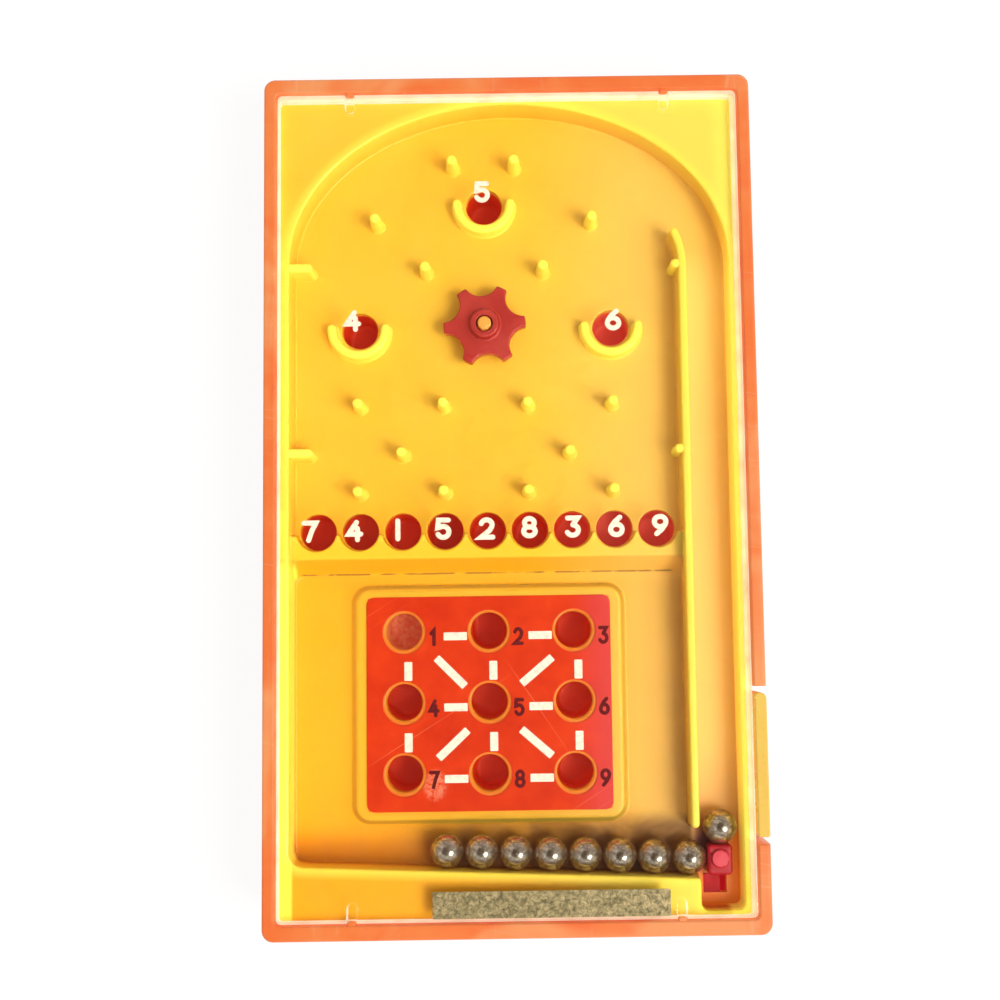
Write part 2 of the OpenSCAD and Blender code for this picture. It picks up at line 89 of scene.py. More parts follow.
@dataclass(frozen=True)
class Profile:
    """The height and tilt of a surface by its distance from an outline."""

    d: tuple[float, ...]
    h: tuple[float, ...]
    tilt: tuple[float, ...]

    @classmethod
    def step(
        cls, height: float, top_r: float, foot_r: float, lean: float = 0.12, n: int = 4, lip: float = 0.0
    ) -> "Profile":
        """A wall that rises where the distance is negative, round at its top and in the corner at its foot.

        Args:
            height: Height of the wall.
            top_r: Radius of its upper edge.
            foot_r: Radius of the corner at its foot.
            lean: How far the wall leans over its height.
            n: Steps in each round.
            lip: Width of the flat top that is given lines of its own.

        Returns:
            The profile, from the top to the foot.
        """
        turns = [90 * k / n for k in range(n + 1)]
        top, foot = -lean / 2 - top_r, lean / 2 + foot_r
        rows = [(top + top_r * sind(t), height - top_r + top_r * cosd(t), t) for t in turns]
        rows += [(foot - foot_r * sind(t), foot_r - foot_r * cosd(t), t) for t in reversed(turns)]
        if lip:
            rows.insert(0, (rows[0][0] - lip, height, 0))
        return cls(*zip(*rows))

    @classmethod
    def hollow(
        cls, depth: float, top_r: float, foot_r: float, lean: float = 0.12, n: int = 4, lip: float = 0.0
    ) -> "Profile":
        """A wall that rises from a floor at height zero where the distance is positive, sized as in step."""
        wall = cls.step(depth, top_r, foot_r, lean, n, lip)
        return cls(
            tuple(-d for d in reversed(wall.d)),
            tuple(reversed(wall.h)),
            tuple(-t for t in reversed(wall.tilt)),
        )

    @classmethod
    def edge(cls, radius: float, n: int = 4) -> "Profile":
        """The round edge of a plate, as a drop below its face that ends at the given distance inside."""
        turns = [90 * k / n for k in range(n + 1)]
        return cls(
            tuple(radius * (1 - cosd(t)) for t in turns),
            tuple(radius * (sind(t) - 1) for t in turns),
            tuple(t - 90 for t in turns),
        )

    def lowered(self, depth: float) -> "Profile":
        """The same profile that much lower, for a hollow sunk into a face."""
        return Profile(self.d, tuple(v - depth for v in self.h), self.tilt)

    def at(self, d: Points) -> tuple[Points, Points]:
        """Height and tilt at each distance."""
        return np.interp(d, self.d, self.h), np.interp(d, self.d, self.tilt)


def sind(angle: float) -> float:
    """Sine of an angle in degrees."""
    return math.sin(math.radians(angle))


def cosd(angle: float) -> float:
    """Cosine of an angle in degrees."""
    return math.cos(math.radians(angle))


def arc(x: float, y: float, r: float, start: float, end: float, n: int) -> list[Pair]:
    """Points of an arc about (x, y), from one angle to another in degrees."""
    return bow(x, y, r, r, start, end, n)


def round_box(w: float, l: float, r: float, x: float = 0, y: float = 0, n: int = 6) -> list[Pair]:
    """Outline of a rectangle with round corners about (x, y)."""
    a, b = w / 2 - r, l / 2 - r
    corners = ((a, b, 0), (-a, b, 90), (-a, -b, 180), (a, -b, 270))
    return [p for cx, cy, t in corners for p in arc(x + cx, y + cy, r, t, t + 90, n)]


def bow(x: float, y: float, rx: float, ry: float, start: float, end: float, n: int = 10) -> list[Pair]:
    """Points of an elliptic arc about (x, y), from one angle to another in degrees."""
    turns = [start + (end - start) * k / n for k in range(n + 1)]
    return [(x + rx * cosd(t), y + ry * sind(t)) for t in turns]


def soften(points: Sequence[Pair], reach: float, least: float = 20, n: int = 4) -> list[Pair]:
    """Rounds the sharp corners of a closed outline.

    Args:
        points: The outline.
        reach: How far from a corner the round starts.
        least: Corners that turn less than this, in degrees, stay as they are.
        n: Steps in each round.

    Returns:
        The outline with its corners rounded.
    """
    p = np.array(points, float)
    out: list[Pair] = []
    for i, c in enumerate(p):
        a, b = p[i - 1] - c, p[(i + 1) % len(p)] - c
        la, lb = np.hypot(*a), np.hypot(*b)
        turn = 180 - math.degrees(math.acos(np.clip(a @ b / (la * lb), -1, 1)))
        if turn < least:
            out.append(tuple(c))
            continue
        start, end = c + a * min(reach / la, 0.5), c + b * min(reach / lb, 0.5)
        for k in range(n + 1):
            t = k / n
            out.append(tuple((1 - t) ** 2 * start + 2 * t * (1 - t) * c + t * t * end))
    return out


def segment_distance(xy: Points, path: Points) -> Points:
    """Distance of each point from an open path."""
    best = np.full(len(xy), np.inf)
    for a, b in zip(path[:-1], path[1:]):
        ab = b - a
        t = np.clip(((xy - a) @ ab) / max(ab @ ab, 1e-12), 0, 1)
        gap = xy - a - t[:, None] * ab
        best = np.minimum(best, np.einsum("ij,ij->i", gap, gap))
    return np.sqrt(best)


def inside_loop(xy: Points, loop: Points) -> Points:
    """True for each point inside a closed outline."""
    x, y = xy[:, 0], xy[:, 1]
    inside = np.zeros(len(xy), bool)
    for (x0, y0), (x1, y1) in zip(loop, np.roll(loop, -1, axis=0)):
        if y0 == y1:
            continue
        inside ^= ((y0 > y) != (y1 > y)) & (x < (x1 - x0) * (y - y0) / (y1 - y0) + x0)
    return inside


class Outline:
    """The outline of a form, with the signed distance from it."""

    def distance(self, xy: Points) -> Points:
        """Signed distance of each point, negative inside the form."""
        raise NotImplementedError

    def contour(self, d: float) -> list[tuple[Points, bool]]:
        """Lines at a distance from the outline, each with True if it is closed."""
        raise NotImplementedError

    def slope(self, xy: Points) -> Points:
        """The direction at each point in which the distance grows."""
        reach = 0.01
        ways = np.array([[reach, 0.0], [0.0, reach]])
        growth = np.stack([self.distance(xy + way) - self.distance(xy - way) for way in ways], 1)
        return growth / np.maximum(np.hypot(growth[:, 0], growth[:, 1]), TINY)[:, None]


@dataclass(frozen=True)
class Disc(Outline):
    """A round form, such as a pin, a hole or a hub."""

    x: float
    y: float
    r: float
    step: float = 0.3

    def distance(self, xy: Points) -> Points:
        """Signed distance from the circle."""
        return np.hypot(xy[:, 0] - self.x, xy[:, 1] - self.y) - self.r

    def contour(self, d: float) -> list[tuple[Points, bool]]:
        """The circle that much larger, or nothing where none is left."""
        r = self.r + d
        if r < LEAST_R:
            return []
        n = max(16, int(2 * math.pi * self.r / self.step))
        return [(np.array(arc(self.x, self.y, r, 0, 360 - 360 / n, n - 1)), True)]


@dataclass(frozen=True)
class Track(Outline):
    """A form of even width along a path, with round ends."""

    path: tuple[Pair, ...]
    width: float
    caps: int = 10

    def distance(self, xy: Points) -> Points:
        """Signed distance from the outline of the track."""
        return segment_distance(xy, np.array(self.path, float)) - self.width / 2

    def contour(self, d: float) -> list[tuple[Points, bool]]:
        """The outline of the track that much wider."""
        r = self.width / 2 + d
        if r < LEAST_R:
            return []
        p = np.array(self.path, float)
        way = np.diff(p, axis=0)
        way /= np.hypot(way[:, 0], way[:, 1])[:, None]
        left = np.stack([-way[:, 1], way[:, 0]], 1)
        mitre = left[:-1] + left[1:]
        mitre /= (1 + np.einsum("ij,ij->i", left[:-1], left[1:]))[:, None]
        out = np.vstack([left[:1], mitre, left[-1:]])
        turns = np.radians(np.linspace(90, -90, self.caps + 1)[1:-1])[:, None]
        end = p[-1] + r * (np.cos(turns) * way[-1] + np.sin(turns) * left[-1])
        start = p[0] + r * (-np.cos(turns) * way[0] - np.sin(turns) * left[0])
        return [(np.vstack([p + out * r, end, (p - out * r)[::-1], start]), True)]


@dataclass(frozen=True)
class Loop(Outline):
    """A closed outline given anticlockwise. Where outer is set, the form is what lies outside it."""

    points: tuple[Pair, ...]
    outer: bool = False

    def distance(self, xy: Points) -> Points:
        """Signed distance from the outline, negative inside the form."""
        loop = np.array(self.points, float)
        gap = segment_distance(xy, np.vstack([loop, loop[:1]]))
        inside = inside_loop(xy, loop)
        return np.where(inside != self.outer, -gap, gap)

    def contour(self, d: float) -> list[tuple[Points, bool]]:
        """The outline moved out by d, or in where the form is outside."""
        p = np.array(self.points, float)
        way = np.roll(p, -1, axis=0) - p
        way /= np.hypot(way[:, 0], way[:, 1])[:, None]
        normal = np.stack([way[:, 1], -way[:, 0]], 1)
        before = np.roll(normal, 1, axis=0)
        mitre = (before + normal) / (1 + np.einsum("ij,ij->i", before, normal))[:, None]
        return [(p + mitre * (-d if self.outer else d), True)]


@dataclass(frozen=True)
class Form:
    """One raised, sunk or edge form of a surface."""

    outline: Outline
    profile: Profile
    mode: Mode = Mode.RAISE
    # pale forms get the painted highlight and glow all over
    pale: bool = False

    def brightness(self, d: Points, h: Points) -> Points:
        """Strength of the painted highlight and glow on a raised form: 1 along the upper edge of a high form,
        2 all over a pale form.

        Args:
            d: Distance of each place from the outline.
            h: Height of the form there.

        Returns:
            The strength of the painted highlight at each place.
        """
        top = max(self.profile.h)
        if self.pale:
            return np.interp(h / top, (0, 0.06), (0, 2))
        inward = d * (1 if self.profile.h[-1] > self.profile.h[0] else -1)
        full_height = 3
        near = np.interp(inward, (-0.5, 0.1, 0.6, 1.6), (0, 1, 0.8, 0)) * min(1, top / full_height)
        return near * np.interp(h / top, (0.3, 1), (0, 1))


@dataclass
class Surface:
    """A face at one height with forms on it, looking up, or down where side is -1."""

    base: float
    forms: list[Form] = field(default_factory=list)
    side: int = 1

    def relief(self, xy: Points, owner: Points, given: Points) -> tuple[Points, Points, Points]:
        """Heights, normals and painted highlight of the surface.

        Args:
            xy: The places to work out.
            owner: For each place the number of the form whose line it lies on, or -1.
            given: The exact distance from that form's outline.

        Returns:
            Z at each place, the normal there, and the strength of the painted highlight there: up to 1 near
            the upper edge of a high form, and 2 on a pale form.
        """
        h, tilt, bright = np.zeros((3, len(xy)))
        slope = np.zeros((len(xy), 2))
        for i, form in enumerate(self.forms):
            d = np.where(owner == i, given, form.outline.distance(xy))
            fh, ft = form.profile.at(d)
            if form.mode is Mode.RAISE:
                wins = fh > h
                bright = np.where(wins, form.brightness(d, fh), bright)
            elif form.mode is Mode.CUT:
                wins = (fh < h) & (d <= form.profile.d[-1])
                bright = np.where(wins, 0, bright)
            else:
                wins = d < form.profile.d[-1]
                fh = h + fh
            h = np.where(wins, fh, h)
            tilt = np.where(wins, ft, tilt)
            if wins.any():
                slope[wins] = form.outline.slope(xy[wins])
        lean = np.radians(tilt)
        normals = np.column_stack([slope * np.sin(lean)[:, None], self.side * np.cos(lean)])
        return self.base + self.side * h, normals, bright

    def lines(self) -> Iterable[tuple[Points, bool, int, float]]:
        """Every line that the mesh has to follow: points, closed, number of its form, distance."""
        for i, form in enumerate(self.forms):
            for d in sorted(set(form.profile.d)):
                for points, closed in form.outline.contour(d):
                    yield points, closed, i, d


# Meshes


@dataclass
class Shape:
    """The vertices, faces, corner normals and finish numbers of a mesh, in millimetres, with the strength of
    the painted highlight at some vertices.
    """

    verts: list[Triple] = field(default_factory=list)
    faces: list[tuple[int, ...]] = field(default_factory=list)
    normals: list[Triple] = field(default_factory=list)
    finish: list[int] = field(default_factory=list)
    # strength of the painted highlight and glow at each vertex that has one
    bright: dict[int, float] = field(default_factory=dict)

    def face(self, corners: Sequence[int], normals: Sequence[Sequence[float]], finish: int = 0) -> None:
        """Adds one face with a normal for each corner."""
        self.faces.append(tuple(int(c) for c in corners))
        self.normals.extend(tuple(float(v) for v in n) for n in normals)
        self.finish.append(finish)

    def add(self, other: "Shape", finish: int | None = None) -> "Shape":
        """Adds another shape's faces to this one, all with one finish where that is given."""
        shift = len(self.verts)
        self.verts.extend(other.verts)
        self.bright.update({c + shift: v for c, v in other.bright.items()})
        self.faces.extend(tuple(c + shift for c in f) for f in other.faces)
        self.normals.extend(other.normals)
        self.finish.extend(other.finish if finish is None else [finish] * len(other.faces))
        return self

    def moved(self, matrix: Matrix) -> "Shape":
        """A copy of the shape, turned and moved by a rigid matrix in millimetres."""
        turn = matrix.to_3x3()
        return Shape(
            [tuple(matrix @ Vector(v)) for v in self.verts],
            list(self.faces),
            [tuple(turn @ Vector(n)) for n in self.normals],
            list(self.finish),
            dict(self.bright),
        )

    def paint(self, pick: Callable[[Points], Points]) -> "Shape":
        """Sets each face's finish number from the place of its middle."""
        verts = np.array(self.verts)
        middles = np.array([verts[list(f)].mean(0) for f in self.faces])
        self.finish = [int(v) for v in pick(middles)]
        return self

    def to_object(self, name: str, materials: Sequence[Material]) -> bpy.types.Object:
        """Makes the Blender object, in metres.

        Args:
            name: Name of the piece.
            materials: Its finishes, in the order of the faces' numbers.

        Returns:
            The object, linked to the scene.
        """
        mesh = bpy.data.meshes.new(name)
        mesh.from_pydata([tuple(c * MM for c in v) for v in self.verts], [], self.faces)
        for material in materials:
            mesh.materials.append(material)
        mesh.polygons.foreach_set("material_index", self.finish)
        mesh.polygons.foreach_set("use_smooth", [True] * len(self.faces))
        mesh.update()
        mesh.normals_split_custom_set(self.normals)
        # the painted highlight strength goes into the edge attribute, which the board's material reads
        if self.bright:
            edge = mesh.attributes.new("edge", "FLOAT", "POINT")
            for corner, value in self.bright.items():
                edge.data[corner].value = value
        piece = bpy.data.objects.new(name, mesh)
        bpy.context.scene.collection.objects.link(piece)
        return piece


@dataclass
class Solid:
    """A closed solid between an upper and a lower surface, inside the given loops."""

    loops: list[Outline]
    inside: Callable[[Points], Points]
    top: Surface
    bottom: Surface

    def shape(self) -> Shape:
        """Builds the closed mesh."""
        out = Shape()
        rims = [(p, c, -1, 0.0) for loop in self.loops for p, c in loop.contour(0.0)]
        top = self._sheet(out, self.top, rims)
        loops = [(np.array([top.xy[a], top.xy[b]]), False, -1, 0.0) for a, b in top.rim]
        bottom = self._sheet(out, self.bottom, loops)
        self._skirt(out, top, bottom)
        return out

    def _sheet(self, out: Shape, surface: Surface, rims: list) -> "Sheet":
        """Adds one of the two surfaces to the shape and gives its sheet.

        Args:
            out: The shape that gets the faces.
            surface: The surface to lay.
            rims: The outlines of its rims.

        Returns:
            The sheet.
        """
        sheet = Sheet.fill([*rims, *surface.lines()], self.inside)
        z, normals, bright = surface.relief(sheet.xy, sheet.owner, sheet.given)
        sheet.first = len(out.verts)
        out.bright.update({sheet.first + int(i): float(bright[i]) for i in np.flatnonzero(bright > 0.01)})
        out.verts.extend(np.column_stack([sheet.xy, z]).tolist())
        for tri in sheet.tris:
            corners = tri if surface.side > 0 else tri[::-1]
            out.face([sheet.first + c for c in corners], [normals[c] for c in corners])
        return sheet

    def _skirt(self, out: Shape, top: "Sheet", bottom: "Sheet") -> None:
        """Joins the rims of the two sheets with upright faces.

        Args:
            out: The shape that gets the faces.
            top: The upper sheet.
            bottom: The lower sheet.
        """
        normal: dict[tuple[int, int], Points] = {}
        leaving: dict[int, list] = {}
        for a, b in top.rim:
            way = top.xy[b] - top.xy[a]
            n = np.array([way[1], -way[0]]) / max(np.hypot(*way), TINY)
            normal[a, b] = n
            leaving.setdefault(a, []).append(n)
            leaving.setdefault(b, []).append(n)

        def at(corner: int, own: Points) -> Triple:
            """Normal at a corner of one face, smooth where the rim bends little."""
            near = [n for n in leaving[corner] if n @ own > 0.75]
            mean = np.sum(near, axis=0)
            mean = mean / max(np.hypot(*mean), TINY)
            return (mean[0], mean[1], 0.0)

        for a, b in top.rim:
            own = normal[a, b]
            c, d = bottom.nearest(top.xy[b]), bottom.nearest(top.xy[a])
            corners = [top.first + b, top.first + a, bottom.first + d, bottom.first + c]
            n = 3 if c == d else 4
            out.face(corners[:n], [at(b, own), at(a, own), at(a, own), at(b, own)][:n])


@dataclass
class Sheet:
    """A triangulated flat area with the form that each point lies on."""

    xy: Points
    owner: Points
    given: Points
    tris: Points
    rim: list[tuple[int, int]]
    first: int = 0

    @classmethod
    def fill(cls, lines: Iterable, inside: Callable[[Points], Points]) -> "Sheet":
        """Triangulates the area inside, along every given line.

        Args:
            lines: Points, closed, form number and distance of each line.
            inside: Says for each place if it belongs to the area.

        Returns:
            The sheet, with the directed edges of its rim.
        """
        verts, edges, tags = [], [], []
        for points, closed, number, d in lines:
            first = len(verts)
            verts.extend(Vector(p) for p in points)
            tags.extend([(number, d)] * len(points))
            n = len(points)
            edges.extend((first + k, first + (k + 1) % n) for k in range(n if closed else n - 1))
        places, _, faces, sources, *_ = delaunay_2d_cdt(verts, edges, [], 0, 1e-5, True)
        xy = np.array([tuple(v) for v in places], float)
        tris = np.array([tuple(f) for f in faces], int)
        tris = tris[inside(xy[tris].mean(1))]
        turn = cross(xy[tris]) < -TINY
        tris[turn] = tris[turn][:, ::-1]
        owner, given = np.full(len(xy), -1), np.zeros(len(xy))
        for i, merged in enumerate(sources):
            for source in merged:
                if tags[source][0] >= 0:
                    owner[i], given[i] = tags[source]
        used, back = np.unique(tris, return_inverse=True)
        tris = back.reshape(-1, 3)
        directed = {(t[k], t[(k + 1) % 3]) for t in tris.tolist() for k in range(3)}
        rim = [(a, b) for a, b in directed if (b, a) not in directed]
        return cls(xy[used], owner[used], given[used], tris, sorted(rim))

    def nearest(self, place: Points) -> int:
        """Number of the point nearest to a place."""
        gap = self.xy - place
        return int(np.argmin(np.einsum("ij,ij->i", gap, gap)))


def cross(tri: Points) -> Points:
    """Twice the signed area of each triangle."""
    a, b = tri[:, 1] - tri[:, 0], tri[:, 2] - tri[:, 0]
    return a[:, 0] * b[:, 1] - a[:, 1] * b[:, 0]


def pierced(outline: Sequence[Pair], holes: Sequence[Outline]) -> Callable[[Points], Points]:
    """A test for places that lie inside the outline and outside every hole.

    Args:
        outline: The outer edge.
        holes: The outlines that are cut out.

    Returns:
        The test, which is true for each place on the plate.
    """

    def inside(xy: Points) -> Points:
        """True for each place on the plate."""
        ok = inside_loop(xy, np.array(outline, float))
        for hole in holes:
            ok &= hole.distance(xy) > 0
        return ok

    return inside


def plate(
    outline: Sequence[Pair], z0: float, z1: float, edge: float, holes: Sequence[Disc] = (),
    top: Sequence[Form] = (), bottom: Sequence[Form] = (), hole_edge: float = 0.1, foot: float | None = None,
) -> Shape:
    """A plate of the given outline with round edges, holes, and forms on its two faces.

    Args:
        outline: Its outer outline, anticlockwise.
        z0: Height of its lower face.
        z1: Height of its upper face.
        edge: Radius of its outer edges.
        holes: Round holes right through it.
        top: Forms on the upper face.
        bottom: Forms on the lower face.
        hole_edge: Radius of the edges of the holes.
        foot: Radius of its lower outer edge, where that differs.

    Returns:
        The closed shape.
    """
    rim = Loop(tuple(outline))
    ground = Loop(tuple(outline), outer=True)
    bores = [Form(h, Profile.edge(hole_edge, 3), Mode.EDGE) for h in holes] if hole_edge else []

    def around(radius: float) -> list[Form]:
        """The round outer edge and the edges of the holes."""
        return [Form(ground, Profile.edge(radius), Mode.EDGE), *bores] if radius else bores

    upper = Surface(z1, [*top, *around(edge)])
    lower = Surface(z0, [*bottom, *around(edge if foot is None else foot)], -1)
    return Solid([rim, *holes], pierced(outline, holes), upper, lower).shape()


def strokes(tracks: Sequence[Outline], z0: float, z1: float) -> Shape:
    """A thin print of several strokes that run into each other."""

    def inside(xy: Points) -> Points:
        """True for each place on a stroke."""
        return np.min([t.distance(xy) for t in tracks], axis=0) < 0

    return Solid(list(tracks), inside, Surface(z1), Surface(z0, side=-1)).shape()


def turned(profile: Sequence[Pair], n: int = 40) -> Shape:
    """A solid turned about the Z axis.

    Args:
        profile: Radius and height of each step, from the lower to the upper end.
        n: Sides of the round.

    Returns:
        The closed shape.
    """
    out = Shape()
    rows = np.array(profile, float)
    way = np.diff(rows, axis=0)
    way /= np.maximum(np.hypot(way[:, 0], way[:, 1]), TINY)[:, None]
    face = np.stack([way[:, 1], -way[:, 0]], 1)
    turns = [(cosd(360 * k / n), sind(360 * k / n)) for k in range(n)]
    for r, z in rows:
        out.verts.extend((r * c, r * s, z) for c, s in turns)

    def normal(row: int, segment: int, k: int) -> Triple:
        """Normal of one corner, smooth where the profile bends little."""
        near = [face[s] for s in (row - 1, row) if 0 <= s < len(face) and face[s] @ face[segment] > 0.7]
        r, z = np.mean(near, axis=0)
        c, s = turns[k % n]
        return (r * c, r * s, z)

    for i in range(len(rows) - 1):
        for k in range(n):
            j = (k + 1) % n
            quad = [(i, k), (i, j), (i + 1, j), (i + 1, k)]
            out.face([row * n + q for row, q in quad], [normal(row, i, q) for row, q in quad])
    for row, z in ((0, -1.0), (len(rows) - 1, 1.0)):
        ring = [row * n + k for k in range(n)]
        out.face(ring if z > 0 else ring[::-1], [(0, 0, z)] * n)
    return out


# Shared sizes

GLYPHS: dict[str, tuple[tuple[Pair, ...], ...]] = {
    "1": (((-0.55, 0.5), (0.15, 0.95), (0.15, -1)),),
    "I": (((0, 1.06), (0, -1)),),
    "2": ((*bow(0, 0.42, 0.9, 0.58, 165, -20), (0.5, -0.2), (-0.95, -1), (1, -1)),),
    "3": (((-0.8, 1), (0.85, 1), (0.05, 0.2)), ((0.05, 0.2), *bow(0, -0.4, 0.95, 0.6, 85, -155))),
    "4": (((0.3, 1), (-1, -0.35), (1, -0.35)), ((0.45, 0.3), (0.45, -1))),
    "5": (((0.85, 1), (-0.75, 1), (-0.88, 0.12), *bow(0, -0.36, 0.95, 0.64, 125, -155, 12)),),
    "6": (((0.6, 1), (-0.25, 0.5), (-0.85, -0.1)), (*bow(0, -0.4, 0.95, 0.6, 170, -190, 20),)),
    "7": (((-1, 1), (0.95, 1), (0.3, 0.1), (-0.25, -1)),),
    "8": ((*bow(0, 0.5, 0.8, 0.5, -90, 270, 18),), (*bow(0, -0.47, 0.95, 0.53, 90, 450, 18),)),
    "9": (((-0.6, -1), (0.25, -0.5), (0.85, 0.1)), (*bow(0, 0.4, 0.95, 0.6, -10, 350, 20),)),
}


@dataclass(frozen=True)
class Layout:
    """Places and heights that the pieces share, in millimetres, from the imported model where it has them."""

    case: Box
    board: Box
    edge: Box
    cover: Box
    tray: Box
    label: Box
    sticker: Box
    star: Vector
    lane_ball: Vector
    lever: Box
    spring: Box
    pin: Box
    wall_x: float = 31.2
    arch_y: float = 33.7
    arch_rise: float = 23.0
    divider_x: float = 24.65
    divider_w: float = 1.3
    row_y: float = -4.2
    pitch: float = 6.05
    hole_r: float = 2.6
    low_wall: float = 2.3
    trough_fall: float = 2.3
    trough_start: float = -50.35
    recess_drop: float = 6.1
    panel_y: float = -28.65
    board_t: float = 1.6
    cover_t: float = 1.4
    notch: Pair = (-47.95, -26.65)
    hinge: Pair = (33.6, -28.4)
    hinge_r: float = 0.45
    snaps: Pair = (-22.35, 22.35)
    rod_x: float = 28.65
    rod_z: float = 5.2

    @classmethod
    def from_frame(cls) -> "Layout":
        """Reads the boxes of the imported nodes."""

        def box(node: str) -> Box:
            """The lower and the upper corner of a node."""
            lo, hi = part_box(node)
            return lo / MM, hi / MM

        def middle(node: str) -> Vector:
            """The middle of a node."""
            lo, hi = box(node)
            return (lo + hi) / 2

        return cls(
            case=box("case"), board=box("board"), edge=box("board_edge"),
            cover=box("cover"), tray=box("tray_base"), label=box("foil_label"),
            sticker=box("grid_sticker"), star=middle("star_wheel"), lane_ball=middle("lane_ball"),
            lever=box("lever"), spring=box("return_spring"), pin=box("lever_pin"),
        )

    @property
    def floor_z(self) -> float:
        """Height of the floor that the balls roll on."""
        return self.edge[0].z

    @property
    def edge_h(self) -> float:
        """Height of the raised edge above that floor."""
        return self.edge[1].z - self.floor_z

    @property
    def field_right(self) -> float:
        """Right end of the play field."""
        return self.divider_x - self.divider_w / 2

    @property
    def field_cx(self) -> float:
        """Middle of the play field."""
        return self.star.x

    def row_x(self, step: int) -> float:
        """X of a hole of the row, counted from its middle."""
        return self.field_cx + step * self.pitch

    def trough_y(self, x: float) -> float:
        """Y of the lower side of the trough."""
        return self.trough_start - (x + self.wall_x) * math.tan(math.radians(self.trough_fall))

    @property
    def cups(self) -> list[Pair]:
        """Centres of the three top holes, of which the middle one lies higher."""
        y, rise = self.star.y, 18.2
        return [(self.row_x(-3), y), (self.field_cx, y + rise), (self.row_x(3), y)]

    @property
    def grid(self) -> list[Pair]:
        """Centres of the nine grid holes, line by line from the upper left."""
        across, down, drop = 12, 9.95, 14.3
        first = self.row_y - drop
        return [(self.field_cx + across * c, first - down * line) for line in range(3) for c in (-1, 0, 1)]


# Materials


def linear(colour: Sequence[float]) -> tuple[float, float, float, float]:
    """A screen colour from 0 to 255 as the linear colour that shaders take."""
    part = [c / 255 for c in colour[:3]]
    r, g, b = (c / 12.92 if c <= 0.04045 else ((c + 0.055) / 1.055) ** 2.4 for c in part)
    return (r, g, b, 1.0)


